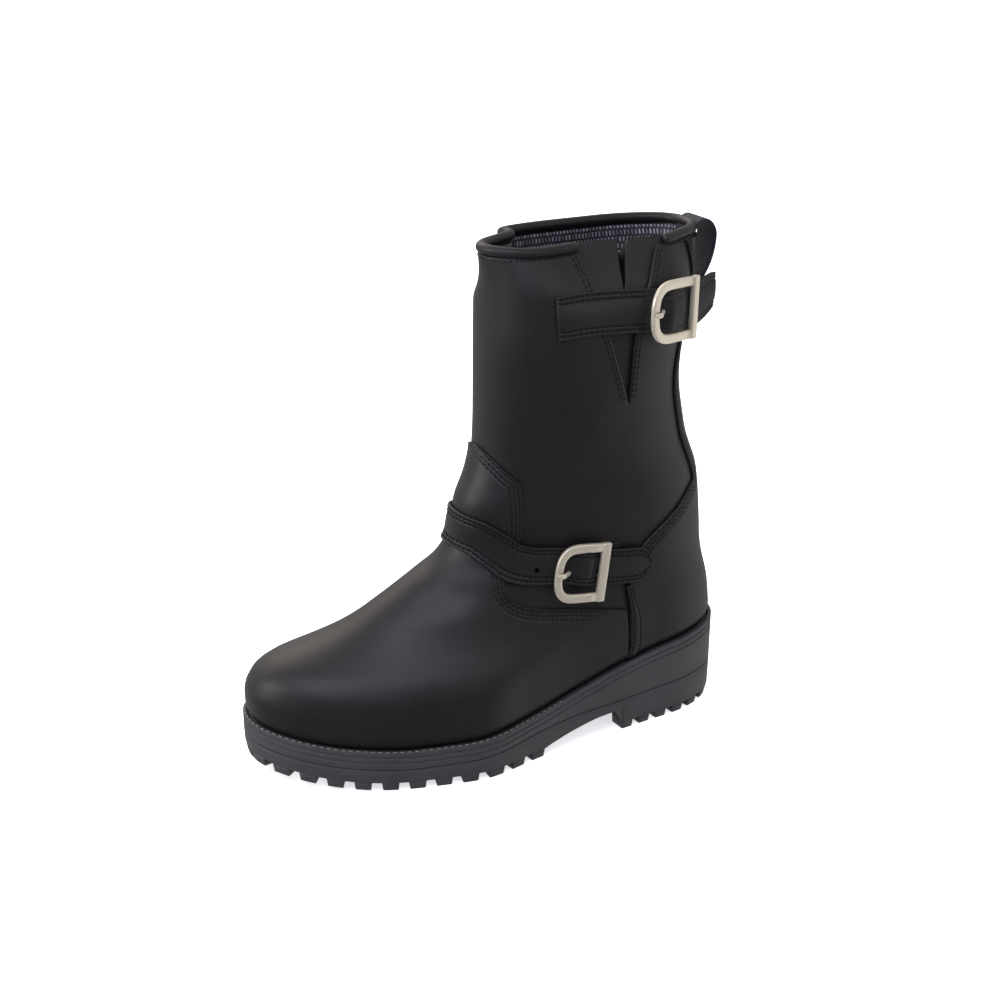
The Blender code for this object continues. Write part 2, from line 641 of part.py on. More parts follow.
def run_length(share, rise):
    """Millimetres round the upper for one whole share, near a place."""
    ends = skin_at(np.array([share - 0.02, share + 0.02]), rise)
    return np.linalg.norm(ends[1] - ends[0]) / 0.04


def strap_plane(middle, pin, reach):
    """Point, direction towards the tip and outward normal at a buckle's pin, from chords across it."""
    step = reach / run_length(pin, float(middle(pin)))
    ahead, behind = (skin_at(pin + side * step, float(middle(pin + side * step))) for side in (-1, 1))
    above, below = (skin_at(pin, float(middle(pin)) + side * reach * 0.7) for side in (1, -1))
    way, normal = ahead - behind, np.cross(ahead - behind, above - below)
    return skin_at(pin, float(middle(pin))), way / np.linalg.norm(way), normal / np.linalg.norm(normal)


def build_straps(boot, cutters):
    middle = smooth_table(ANKLE_SHARE[::-1], ANKLE_RISE[::-1])
    start, front, tip = ANKLE_SHARE[0], ANKLE_SHARE[7], ANKLE_SHARE[-1]
    shares = np.concatenate([np.linspace(start, front, 22), np.linspace(front, tip, 22)[1:]])
    away = (shares - ANKLE_PIN) * run_length(ANKLE_PIN, float(middle(ANKLE_PIN)))
    half = ANKLE_HALF * np.sqrt(np.clip((shares - TIP_SHARE) / TIP_ROUND, 0.05, 1))
    rings = band_rings(shares, middle(shares), half, STRAP_LIFT + hump(away, STRAP_LIFT), STRAP_WALL)
    strap = tube("ankle_strap", rings, "leather", boot)
    point, way, normal = strap_plane(middle, ANKLE_PIN, BUCKLE_LENGTH / 2)
    boolean(strap, buckle("ankle", point - way * PIN_PLACE, way, normal, boot, cutters), "DIFFERENCE")
    apply_modifiers(strap)
    shares = np.linspace(CHAPE_SHARE, ANKLE_PIN - 0.01, 6)
    rings = band_rings(shares, middle(shares) + 1.5, ANKLE_HALF + 1.0, GAP, OVERLAY_WALL)
    tube("ankle_chape", rings, "leather", boot)

    middle = smooth_table(COLLAR_SHARE[::-1], COLLAR_STRAP_RISE[::-1])
    shares = np.linspace(COLLAR_SHARE[0], COLLAR_PIN, 19)
    away = (shares - COLLAR_PIN) * run_length(COLLAR_PIN, float(middle(COLLAR_PIN)))
    rings = band_rings(shares, middle(shares), COLLAR_HALF, GAP + hump(away, GAP), STRAP_WALL)
    point, way, normal = strap_plane(middle, COLLAR_PIN, PIN_RADIUS)
    last, centre = rings[-1], rings[-1].mean(0)
    for step, width in zip(COLLAR_TIP_STEPS, COLLAR_TIP_WIDTHS):
        shrunk = centre + (last - centre) * np.array([1, 1, width])
        rings.append(shrunk + way * step - normal * (hump(0.0, STRAP_LIFT) - hump(step, STRAP_LIFT)))
    strap = tube("collar_strap", rings, "leather", boot)
    boolean(strap, buckle("collar", point - way * PIN_PLACE, way, normal, boot, cutters), "DIFFERENCE")
    apply_modifiers(strap)


def build_pull_loop(boot):
    """Webbing loop at the back of the collar, from inside the leg over the piping to its outside."""
    path = np.stack([LOOP_ALONG, LOOP_UP], -1)
    rings = []
    for k, (along, up) in enumerate(path):
        way = path[min(k + 1, len(path) - 1)] - path[max(k - 1, 0)]
        out = np.array([way[1], -way[0]]) / np.linalg.norm(way) * LOOP_WALL / 2
        rings.append([(along + s * out[0], w * LOOP_WIDTH / 2, up + s * out[1])
                      for s, w in ((-1, -1), (1, -1), (1, 1), (-1, 1))])
    tube("pull_loop", rings, "webbing", boot)


def main():
    for obj in list(bpy.data.objects):
        bpy.data.objects.remove(obj)
    boot = bpy.data.collections.new("motorcycle_boot")
    cutters = bpy.data.collections.new("cutters")
    for collection in (boot, cutters):
        bpy.context.scene.collection.children.link(collection)
    cutters.hide_render = True
    build_sole(boot)
    build_upper(boot, cutters)
    build_gusset(boot)
    build_piping(boot)
    build_straps(boot, cutters)
    build_pull_loop(boot)


main()
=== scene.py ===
import bmesh
import bpy
import numpy as np
from mathutils import Matrix, Vector


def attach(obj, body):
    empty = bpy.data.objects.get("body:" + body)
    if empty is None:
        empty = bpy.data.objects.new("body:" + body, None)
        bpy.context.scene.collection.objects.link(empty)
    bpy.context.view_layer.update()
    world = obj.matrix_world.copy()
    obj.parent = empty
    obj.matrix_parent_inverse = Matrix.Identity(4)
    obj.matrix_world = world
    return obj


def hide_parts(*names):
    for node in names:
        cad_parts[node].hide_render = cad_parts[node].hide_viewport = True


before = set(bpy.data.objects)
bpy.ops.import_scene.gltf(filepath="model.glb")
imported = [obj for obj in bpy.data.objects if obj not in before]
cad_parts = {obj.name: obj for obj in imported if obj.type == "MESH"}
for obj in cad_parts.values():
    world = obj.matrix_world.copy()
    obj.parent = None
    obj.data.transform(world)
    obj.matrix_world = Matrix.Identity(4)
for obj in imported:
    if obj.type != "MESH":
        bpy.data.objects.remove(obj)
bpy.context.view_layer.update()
mm = 0.001
print("frame loaded")

# Places are in millimetres: along from the back of the sole, across to the outer side, up from the floor.
# rise is the height over the feather line, share the place round the boot (0 back, 0.25 outer, 0.5 front).
boot = {
    "soleLength": 305.0, "soleCentre": 152.75, "soleMiddle": -2.2, "ballHalfWidth": 50.0, "collarRise": 251.0,
    "toeSwing": 18.0, "swingAlong": (150, 420), "toeSpring": 11.0, "springStart": 225.0,
    "frontRise": [0, 14, 23, 31, 38, 44, 50, 56, 62, 69, 78, 90, 104, 120, 138, 160, 195, 230, 255],
    "frontAlong": [299, 299, 295.5, 286.5, 270, 254, 240, 228.5, 217, 203.5,
                   187, 176, 170, 165.5, 163.5, 162.5, 162, 161.8, 164.5],
    "backRise": [0, 22, 48, 78, 108, 140, 175, 215, 255],
    "backAlong": [6.5, 9, 13.5, 16.5, 20.5, 31.5, 37, 32, 22.5],
    "planAlong": [5, 50, 85, 118, 150, 185, 215, 299],
    "planOuter": [0.62, 0.65, 0.71, 0.76, 0.87, 1.02, 0.99, 0.99],
    "planInner": [0.62, 0.65, 0.66, 0.67, 0.73, 0.85, 0.94, 0.97],
    "legRise": [60, 110, 150, 195, 230, 255],
    "legOuter": [37, 38.5, 42, 43, 40.5, 28],
    "legInner": [35, 36.5, 40, 42, 40, 36],
    "roundRise": [0, 24, 44, 60, 80, 110, 150, 255],
    "roundFrontOuter": [119, 140, 185, 170, 130, 90, 68, 42],
    "roundFrontInner": [80, 105, 160, 160, 125, 90, 68, 66],
    "roundBack": [46, 46, 47, 49, 51, 55, 61, 48],
    "roundPower": 2.12, "footToLeg": (20, 115), "slopeToLevel": (0, 115),
    "dents": [(0.566, 0.042, 19.0), (0.085, 0.05, -6.0), (0.93, 0.05, 3.0)], "dentStart": 222.0,
    "heightAlong": [0, 45, 85, 112, 140, 170, 200, 225, 260, 305],
    "featherUp": [55, 51, 44.9, 37.7, 31.2, 27.4, 25.5, 25.2, 27.7, 35.5],
    "jointUp": [24.5, 22.8, 21, 20.3, 18.6, 15.7, 13.8, 13.4, 15.8, 23.6],
    "legBaseUp": 47.0, "plump": 2.2, "plumpEnds": (22, 62), "tuck": 3.4, "tuckRise": 8.0,
    "rimLevel": (222, 246),
}


def curve(xs, ys):  # monotone cubic through table rows
    xs = np.asarray(xs, float)
    ys = np.asarray(ys, float)
    step = np.diff(xs)
    slope = np.diff(ys) / step
    grade = np.zeros_like(ys)
    for i in range(1, len(xs) - 1):
        if slope[i - 1] * slope[i] > 0:
            a = 2 * step[i] + step[i - 1]
            b = step[i] + 2 * step[i - 1]
            grade[i] = (a + b) / (a / slope[i - 1] + b / slope[i])
    grade[[0, -1]] = slope[[0, -1]]

    def read(x):
        x = np.clip(x, xs[0], xs[-1])
        i = np.clip(np.searchsorted(xs, x) - 1, 0, len(step) - 1)
        t = (x - xs[i]) / step[i]
        values = (1 + 2 * t) * (1 - t) ** 2 * ys[i] + t * t * (3 - 2 * t) * ys[i + 1]
        return values + step[i] * (t * (1 - t) ** 2 * grade[i] + t * t * (t - 1) * grade[i + 1])

    return read


def ease(x, low, high):  # smooth step from 0 to 1
    t = np.clip((np.asarray(x, float) - low) / (high - low), 0, 1)
    return t * t * (3 - 2 * t)


def bell(distance, width):  # soft bump, 1 in the middle
    return np.exp(-((distance / width) ** 2))


def unit(vectors):
    return vectors / np.maximum(np.linalg.norm(vectors, axis=-1, keepdims=True), 1e-9)


def runOf(points):  # length along a path up to each of its points
    return np.concatenate([[0], np.cumsum(np.linalg.norm(np.diff(points, axis=0), axis=-1))])


def bootCurve(places, values):
    return curve(boot[places], boot[values])


frontAlong = bootCurve("frontRise", "frontAlong")
backAlong = bootCurve("backRise", "backAlong")
planSides = [bootCurve("planAlong", side) for side in ("planOuter", "planInner")]
legSides = [bootCurve("legRise", side) for side in ("legOuter", "legInner")]
frontRounds = [bootCurve("roundRise", side) for side in ("roundFrontOuter", "roundFrontInner")]
backRound = bootCurve("roundRise", "roundBack")
featherUp = bootCurve("heightAlong", "featherUp")
jointUp = bootCurve("heightAlong", "jointUp")


def springUp(along):
    reach = boot["soleLength"] - boot["springStart"]
    return boot["toeSpring"] * np.clip((along - boot["springStart"]) / reach, 0, None) ** 2


def roundEnd(distance, length):
    t = np.clip(1 - distance / length, 0, 1)
    return (1 - t ** boot["roundPower"]) ** (1 / boot["roundPower"])


def loopPoints(rise, shares):  # along and across of the upper's outside at one rise
    low = max(rise, 0.0)
    back = backAlong(low)
    front = frontAlong(low)
    along = (back + front) / 2 - (front - back) / 2 * np.cos(np.linspace(0, np.pi, 900))
    swing = ease(along, *boot["swingAlong"]) / ease(boot["soleLength"], *boot["swingAlong"])
    shares = np.asarray(shares, float) % 1.0
    outer = shares <= 0.5
    position = np.where(outer, shares * 2, 2 - shares * 2)
    leg = ease(low, *boot["footToLeg"])
    found = []
    for side, sign in enumerate((1, -1)):
        full = boot["ballHalfWidth"] * planSides[side](along) * (1 - leg) + legSides[side](low) * leg
        half = full * roundEnd(front - along, frontRounds[side](low)) * roundEnd(along - back, backRound(low))
        across = -boot["toeSwing"] * swing + sign * half
        run = runOf(np.stack([along, across], -1))
        found.append([np.interp(position, run / run[-1], line) for line in (along, across)])
    return np.where(outer, found[0], found[1])


def skinRow(rise, shares):
    x, y = loopPoints(rise, shares)
    level = ease(rise, *boot["slopeToLevel"])
    slack = ease(rise, boot["dentStart"], boot["collarRise"])
    for share, width, depth in boot["dents"]:
        x = x - depth * slack * bell((shares - share + 0.5) % 1.0 - 0.5, width)
    return np.stack([x, y, rise + featherUp(x) * (1 - level) + boot["legBaseUp"] * level], -1)


# One fine table of the upper's outside, which every piece of leather is read from
gridRises = np.arange(-6.0, 262.0)
gridShares = np.linspace(0, 1, 1025)


def gridNormals(points):
    ring = points[:, :-1]
    roundWay = np.roll(ring, -1, axis=1) - np.roll(ring, 1, axis=1)
    normal = unit(np.cross(np.gradient(ring, axis=0), roundWay))
    return np.concatenate([normal, normal[:, :1]], axis=1)


def readGrid(table, share, rise):
    share, rise = np.broadcast_arrays(np.asarray(share, float), np.asarray(rise, float))
    s = (share % 1.0) * (len(gridShares) - 1)
    r = np.clip(rise - gridRises[0], 0, len(gridRises) - 1.001)
    i = np.floor(r).astype(int)
    j = np.minimum(np.floor(s).astype(int), len(gridShares) - 2)
    a = (r - i)[..., None]
    b = (s - j)[..., None]
    low = table[i, j] * (1 - b) + table[i, j + 1] * b
    high = table[i + 1, j] * (1 - b) + table[i + 1, j + 1] * b
    return low * (1 - a) + high * a


skinTable = np.array([skinRow(rise, gridShares) for rise in gridRises])
normalTable = gridNormals(skinTable)

# Creases: path of (share, rise) places, depth in (negative stands out), width of the soft trough
creases = [
    ([(0.455, 62), (0.43, 66), (0.405, 68)], 1.6, 9.0),
    ([(0.50, 74), (0.47, 72), (0.44, 70)], 0.9, 7.0),
    ([(0.56, 74), (0.60, 70), (0.64, 66)], 1.4, 9.0),
    ([(0.36, 112), (0.30, 116), (0.24, 112)], 1.5, 14.0),
    ([(0.64, 112), (0.70, 118), (0.78, 112)], 1.7, 13.0),
    ([(0.03, 128), (0.97, 130), (0.90, 124)], 1.2, 10.0),
    ([(0.33, 150), (0.29, 160), (0.26, 176)], -1.0, 16.0),
    ([(0.72, 150), (0.76, 165), (0.80, 180)], -1.1, 16.0),
    ([(0.42, 196), (0.40, 222), (0.41, 246)], -0.9, 12.0),
    ([(0.50, 107), (0.475, 107), (0.44, 105)], -7.5, 20.0),  # tongue
    ([(0.335, 268), (0.315, 252), (0.30, 236)], 8.0, 28.0),  # collar, at the front
    ([(0.29, 266), (0.21, 266), (0.13, 266)], 5.0, 25.0),  # collar, outer side
]
creaseFade = {"steps": 60, "ends": (0.04, 0.96), "power": 0.6}


def pressCreases(points, normals):
    full = 1 - ease(gridRises, *boot["plumpEnds"])  # the foot is a little fuller than the last
    tuck = boot["tuck"] * np.clip(1 - gridRises / boot["tuckRise"], 0, 1) ** 2  # drawn in at the feather line
    offset = np.repeat((boot["plump"] * full - tuck)[:, None], points.shape[1], 1)
    turn = np.linspace(0, 1, creaseFade["steps"])
    fade = np.sin(np.pi * np.clip(turn, *creaseFade["ends"])) ** creaseFade["power"]
    for places, depth, width in creases:
        path = np.array(places, float)
        spots = np.linspace(0, 1, len(path))
        line = readGrid(points, np.interp(turn, spots, np.unwrap(path[:, 0], period=1.0)),
                        np.interp(turn, spots, path[:, 1]))
        strongest = np.zeros(points.shape[:2])
        for place, weight in zip(line, fade):
            near = ((points - place) ** 2).sum(-1)
            strongest = np.maximum(strongest, weight * np.exp(-near / width ** 2))
        offset -= depth * strongest
    shift = normals * offset[..., None]
    shift[..., 2] *= 1 - ease(gridRises, *boot["rimLevel"])[:, None]  # the rim stays level
    return points + shift


skinTable = pressCreases(skinTable, normalTable)
normalTable = gridNormals(skinTable)
print("upper's surface worked out")


def normalAt(share, rise):
    return readGrid(normalTable, share, rise)


def onSkin(share, rise, offset=0.0):
    return readGrid(skinTable, share, rise) + normalAt(share, rise) * np.asarray(offset)[..., None]


def shiftOnSkin(share, rise, way, distance):  # share and rise after a walk over the leather
    stepShare = 0.003
    stepRise = 1.5
    perShare = (onSkin(share + stepShare, rise) - onSkin(share - stepShare, rise)) / (2 * stepShare)
    perRise = (onSkin(share, rise + stepRise) - onSkin(share, rise - stepRise)) / (2 * stepRise)
    aa, bb, ab = ((a * b).sum(-1) for a, b in ((perShare, perShare), (perRise, perRise), (perShare, perRise)))
    p, q = ((per * way).sum(-1) for per in (perShare, perRise))
    det = aa * bb - ab * ab
    return share + distance * (p * bb - q * ab) / det, rise + distance * (q * aa - p * ab) / det


origin = np.array([boot["soleCentre"], boot["soleMiddle"], 0])
upWay = np.array([0, 0, 1.0])
outerHalf = np.linspace(0, 0.5, 400)


def toWorld(points):
    return (np.asarray(points, float) - origin) * mm


def placing(x, y, z, seat):  # matrix from three axes and a place
    return Matrix([*zip(x, y, z, seat), (0, 0, 0, 1)])


def shareAt(rise, along):  # place on the outer side at a distance from the back
    return float(np.interp(along, onSkin(outerHalf, rise)[:, 0], outerHalf))


def addGrid(bm, points):
    rows, columns = points.shape[:2]
    made = bmesh.ops.create_grid(bm, x_segments=columns - 1, y_segments=rows - 1, size=1.0)["verts"]
    for vert, place in zip(made, toWorld(points).reshape(-1, 3)):
        vert.co = place
    return made


def addPiece(name, bm, material, nodes=(), uvs=None, autoNormals=True):
    if autoNormals:
        bmesh.ops.recalc_face_normals(bm, faces=bm.faces)
        if bm.calc_volume(signed=True) < 0:
            bmesh.ops.reverse_faces(bm, faces=bm.faces)
    mesh = bpy.data.meshes.new(name)
    for face in bm.faces:
        face.smooth = True
    bm.to_mesh(mesh)
    bm.free()
    mesh.materials.append(material)
    if uvs is not None:
        layer = mesh.uv_layers.new(name="surface")
        corners = np.zeros(len(mesh.loops), int)
        mesh.loops.foreach_get("vertex_index", corners)
        layer.data.foreach_set("uv", uvs[corners].astype(np.float32).ravel())
    piece = bpy.data.objects.new(name, mesh)
    bpy.context.scene.collection.objects.link(piece)
    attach(piece, "root")
    if nodes:
        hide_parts(*nodes)
    return piece


def addTube(bm, rings, closed=False):  # rings of points along a path, each ring closed
    rings = np.asarray(rings)
    rings = np.concatenate([rings, rings[:, :1]], axis=1)
    if closed:
        rings = np.concatenate([rings, rings[:1]], axis=0)
    bmesh.ops.remove_doubles(bm, verts=addGrid(bm, rings), dist=1e-6)
    if not closed:
        bmesh.ops.holes_fill(bm, edges=[edge for edge in bm.edges if edge.is_boundary], sides=0)


def bevelEdges(bm, edges, size, segments):
    bmesh.ops.bevel(bm, geom=list(edges), offset=size * mm, offset_type="OFFSET", affect="EDGES",
                    segments=segments, profile=0.5, material=-1)


def leatherTube(name, rings, nodes):
    bm = bmesh.new()
    addTube(bm, rings)
    addPiece(name, bm, leather, nodes)


# Materials

def linear(hexText):
    parts = [int(hexText[i : i + 2], 16) / 255 for i in (1, 3, 5)]
    return [c / 12.92 if c <= 0.04045 else ((c + 0.055) / 1.055) ** 2.4 for c in parts] + [1.0]


def addNode(tree, kind, settings=None, **inputs):
    made = tree.nodes.new("ShaderNode" + kind)
    for key, value in (settings or {}).items():
        setattr(made, key, value)
    for key, value in inputs.items():
        spot = made.inputs[int(key[1:])] if key[0] == "_" else made.inputs[key.replace("_", " ")]
        if isinstance(value, bpy.types.NodeSocket):
            tree.links.new(value, spot)
        else:
            spot.default_value = value
    return made


def newMaterial(name, **values):
    material = bpy.data.materials.new(name)
    material.use_nodes = True
    tree = material.node_tree
    for key, value in values.items():
        tree.nodes["Principled BSDF"].inputs[key.replace("_", " ")].default_value = value
    return material, tree, addNode(tree, "TexCoord").outputs["Object"]


def perMetre(size):  # pattern scale from a real size in millimetres
    return 1.0 / (size * mm)


def addNoise(tree, place, size, detail, **inputs):
    noise = addNode(tree, "TexNoise", Vector=place, Scale=perMetre(size), Detail=detail, **inputs)
    return noise.outputs["Fac"]


def addTint(tree, mix, low, high):
    tint = addNode(tree, "Mix", {"data_type": "RGBA"}, _0=mix, _6=linear(low), _7=linear(high))
    tree.links.new(tint.outputs[2], tree.nodes["Principled BSDF"].inputs["Base Color"])


def addGloss(tree, value, look, **limits):
    gloss = addNode(tree, "MapRange", Value=value, To_Min=look["smooth"], To_Max=look["rough"], **limits)
    tree.links.new(gloss.outputs[0], tree.nodes["Principled BSDF"].inputs["Roughness"])


def addBump(tree, height, strength, depth, **inputs):
    bump = addNode(tree, "Bump", Strength=strength, Distance=depth * mm, Height=height, **inputs)
    tree.links.new(bump.outputs[0], tree.nodes["Principled BSDF"].inputs["Normal"])
    return bump.outputs[0]


# Sizes of patterns are in millimetres, and a bump is its strength and its depth in millimetres
leatherLook = {"colour": "#100e12", "sheenColour": "#161417", "mottle": 45.0, "smooth": 0.48, "rough": 0.53,
               "grain": 1.3, "pore": 0.5, "grainBump": (0.35, 0.05), "wrinkle": 9.0,
               "wrinkleBump": (0.4, 0.22)}


# Full-grain cowhide, dyed black and waxed: dark satin with broad soft highlights and a fine grain
def blackLeather(name, look):
    material, tree, place = newMaterial(name, IOR=1.5)
    mottle = addNoise(tree, place, look["mottle"], 3.0)
    addTint(tree, mottle, look["colour"], look["sheenColour"])
    addGloss(tree, mottle, look, From_Min=0.3, From_Max=0.7)
    cells = addNode(tree, "TexVoronoi", {"feature": "DISTANCE_TO_EDGE"}, Vector=place,
                    Scale=perMetre(look["grain"]))
    height = addNode(tree, "Math", {"operation": "ADD"}, _0=cells.outputs["Distance"],
                     _1=addNoise(tree, place, look["pore"], 2.0))
    grain = addBump(tree, height.outputs[0], *look["grainBump"])
    wrinkle = addNoise(tree, place, look["wrinkle"], 4.0, Roughness=0.6, Distortion=0.4)
    addBump(tree, wrinkle, *look["wrinkleBump"], Normal=grain)
    return material


rubberLook = {"colour": "#28272b", "dust": "#37363b", "cloud": 30.0, "smooth": 0.5, "rough": 0.66,
              "speck": 1.6, "speckBump": (0.3, 0.06)}
# the welt's darker colours are its own black together with painted shade of the crease between upper and rim
weltShadeLook = {**rubberLook, "colour": "#1d1c1f", "dust": "#272629"}


# Moulded nitrile rubber: charcoal, matte, with a faint bloom
def soleRubber(name, look):
    material, tree, place = newMaterial(name, IOR=1.52)
    cloud = addNoise(tree, place, look["cloud"], 5.0)
    addTint(tree, cloud, look["colour"], look["dust"])
    addGloss(tree, cloud, look)
    addBump(tree, addNoise(tree, place, look["speck"], 3.0), *look["speckBump"])
    return material


nickelLook = {"colour": "#d9d1c0", "brush": 0.5, "smooth": 0.36, "rough": 0.46, "hazeBump": (0.05, 0.02)}


# Satin nickel plate on a cast buckle: warm silver with a faint brushed haze
def satinNickel(name, look):
    material, tree, place = newMaterial(name, Base_Color=linear(look["colour"]), Metallic=0.72)
    haze = addNoise(tree, place, look["brush"], 2.0)
    addGloss(tree, haze, look)
    addBump(tree, haze, *look["hazeBump"])
    return material


webbingLook = {"colour": "#0f0f1a", "light": "#23233a", "pick": 1.1, "end": 1.4, "ribBump": (0.6, 0.25)}


# Woven polyamide webbing: navy black, with the ribs of its weave
def navyWebbing(name, look):
    material, tree, place = newMaterial(name, Roughness=0.62, IOR=1.5)
    surface = addNode(tree, "UVMap", {"uv_map": "surface"}).outputs[0]
    perBand = 0.314  # wave scale that gives one band a millimetre
    ribs, ends = (addNode(tree, "TexWave", {"bands_direction": way}, Vector=surface,
                          Scale=perBand / size).outputs["Fac"]
                  for way, size in (("Y", look["pick"]), ("X", look["end"])))
    weave = addNode(tree, "Math", {"operation": "MULTIPLY"}, _0=ribs, _1=ends)
    addTint(tree, weave.outputs[0], look["colour"], look["light"])
    addBump(tree, weave.outputs[0], *look["ribBump"])
    return material


liningLook = {"colour": "#22222b", "thread": "#9fa1b0", "cell": 2.2, "rowHeight": 4.2, "gap": 0.72,
              "gapSoft": 0.45, "ribBump": (0.8, 0.8)}


# Spacer-knit polyester lining: black holes between short light ribs in staggered rows
def meshLining(name, look):
    material, tree, place = newMaterial(name, Roughness=0.75, IOR=1.5)
    surface = addNode(tree, "UVMap", {"uv_map": "surface"}).outputs[0]
    bricks = addNode(tree, "TexBrick", {"offset": 0.5, "squash": 1.0}, Vector=surface, Scale=1.0,
                     Mortar_Size=look["gap"], Mortar_Smooth=look["gapSoft"], Brick_Width=look["cell"],
                     Row_Height=look["rowHeight"], Color1=(1, 1, 1, 1), Color2=(0.3, 0.3, 0.3, 1),
                     Mortar=(0, 0, 0, 1))
    addTint(tree, bricks.outputs["Color"], look["colour"], look["thread"])
    addBump(tree, bricks.outputs["Color"], *look["ribBump"])
    return material


threadLook = {"ply": 0.6, "roughness": 0.7}


# Waxed polyester thread, twisted from plies; near black and without its shine it also makes a pinhole's
# painted shade, over its raw core
def waxedThread(name, colour, lit, shine=0.3):
    material, tree, place = newMaterial(name, Roughness=threadLook["roughness"], IOR=1.45,
                                        Specular_IOR_Level=shine)
    addTint(tree, addNoise(tree, place, threadLook["ply"], 1.0), colour, lit)
    return material


leather = blackLeather("waxed black cowhide", leatherLook)
rubber = soleRubber("moulded charcoal rubber", rubberLook)
weltShadeRubber = soleRubber("black welt rubber with painted crease shade", weltShadeLook)
nickel = satinNickel("satin nickel plate", nickelLook)
webbing = navyWebbing("navy webbing", webbingLook)
lining = meshLining("spacer-knit lining", liningLook)
# near black and dull: painted shade inside a pinhole, with its raw core
pinhole = waxedThread("painted shade of a pinhole", "#020202", "#060506", 0.02)
thread = waxedThread("waxed black thread", "#0a0a0b", "#131214")
weltThread = waxedThread("waxed grey thread", "#6f6a62", "#8b867e")
print("materials made")

# Stitches are gathered here as runs of places on the leather and made into one piece at the end
stitchRuns = {"black": [], "welt": []}
stitch = {"pitch": 3.3, "length": 2.7, "thick": 0.85, "flat": 0.8, "wayReach": 0.8}


def sewAlong(points, normals, kind="black", pitch=stitch["pitch"], length=stitch["length"],
             thick=stitch["thick"]):
    run = runOf(points)
    marks = np.arange(pitch / 2, run[-1], pitch)

    def atMarks(values, ahead=0.0):
        return np.stack([np.interp(marks + ahead, run, values[:, k]) for k in range(3)], -1)

    way = unit(atMarks(points, stitch["wayReach"]) - atMarks(points, -stitch["wayReach"]))
    side = unit(np.cross(unit(atMarks(normals)), way))
    up = np.cross(way, side) * thick * stitch["flat"]
    stitchRuns[kind].append((way * length, side * thick, up, atMarks(points)))


def sewOnSkin(share, rise, offset, **options):
    sewAlong(onSkin(share, rise, offset), normalAt(share, rise), **options)


def asideOf(share, rise, inward):  # over the leather, square to a path, to the side that inward points to
    way = unit(np.gradient(onSkin(share, rise), axis=0))
    side = unit(np.cross(normalAt(share, rise), way))
    return side * np.sign((side * inward).sum(-1, keepdims=True))


def inset(share, rise, inward, distance):  # a path moved aside over the leather
    return shiftOnSkin(share, rise, asideOf(share, rise, inward), distance)


def sheetPiece(name, points, wall, nodes, merge=True):  # a leather sheet under a grid of points
    bm = bmesh.new()
    made = addGrid(bm, np.array(points)[:, ::-1])
    if merge:
        bmesh.ops.remove_doubles(bm, verts=made, dist=1e-5)
    bmesh.ops.solidify(bm, geom=bm.faces[:], thickness=wall * mm)
    addPiece(name, bm, leather, nodes)


# Upper: one sheet from the front edge of the expansion panel round to its back edge
upperPiece = {"wall": 2.0, "columns": 250, "low": -3.8, "rowsBelow": 98, "rowsAbove": 52, "apex": 211.5,
              "notchUp": [211.5, 250, 286, 307], "notchFront": [88, 100.4, 109.8, 115.5],
              "notchBack": [88, 85.5, 72, 57]}
notchEdges = [curve(upperPiece["notchUp"], upperPiece[edge]) for edge in ("notchFront", "notchBack")]
apexRise = upperPiece["apex"] - boot["legBaseUp"]


def notchShares(rise):
    up = max(rise + boot["legBaseUp"], upperPiece["apex"])
    return [shareAt(up - boot["legBaseUp"], float(edge(up))) for edge in notchEdges]


upperRises = np.concatenate([np.linspace(upperPiece["low"], apexRise, upperPiece["rowsBelow"]),
                             np.linspace(apexRise, boot["collarRise"], upperPiece["rowsAbove"])[1:]])
turn = np.linspace(0, 1, upperPiece["columns"])
rows = []
for rise in upperRises:
    frontShare, backShare = notchShares(rise)
    rows.append(onSkin(frontShare + turn * (1 + backShare - frontShare), rise))
sheetPiece("upper_leather", rows, upperPiece["wall"], ["upper"])
print("upper made")

# Overlays: sheets between two edges, rounded down to the upper at their cut edges
overlay = {"lift": 0.25, "wall": 1.6, "round": 1.1, "under": 0.9, "rows": (1.9, 4.2, 6.5), "groove": 0.55,
           "grooveWidth": 0.7, "sewnFrom": -10.0, "sewnFade": 4.0, "threadUp": 1.45, "sewnLow": 1.5,
           "dense": 26, "span": 0.045}


def edgeShares(rise, edge, sign):  # where a side outline (along as a function of up) crosses a row
    half = np.linspace(0, 0.5, 600)
    row = onSkin(half if sign > 0 else 1 - half, rise)
    ahead = row[:, 0] - edge(row[:, 2])
    if ahead[-1] < 0 or ahead[0] > 0:
        return None
    k = int(np.argmax(ahead > 0))
    t = -ahead[k - 1] / (ahead[k] - ahead[k - 1])
    return half[k - 1] + t * (half[k] - half[k - 1])


def edgeRows(rises, edge):  # the rows that an outline crosses on both sides, as rises, outer and inner shares
    rows = [(rise, edgeShares(rise, edge, 1), edgeShares(rise, edge, -1)) for rise in rises]
    return np.array([row for row in rows if row[1] is not None and row[2] is not None]).T


def spread(count, dense, span):  # 0 to 1, with closer steps next to both ends
    near = np.linspace(0, 1, dense) ** 1.3 * span
    return np.concatenate([near, np.linspace(span, 1 - span, count)[1:-1], 1 - near[::-1]])


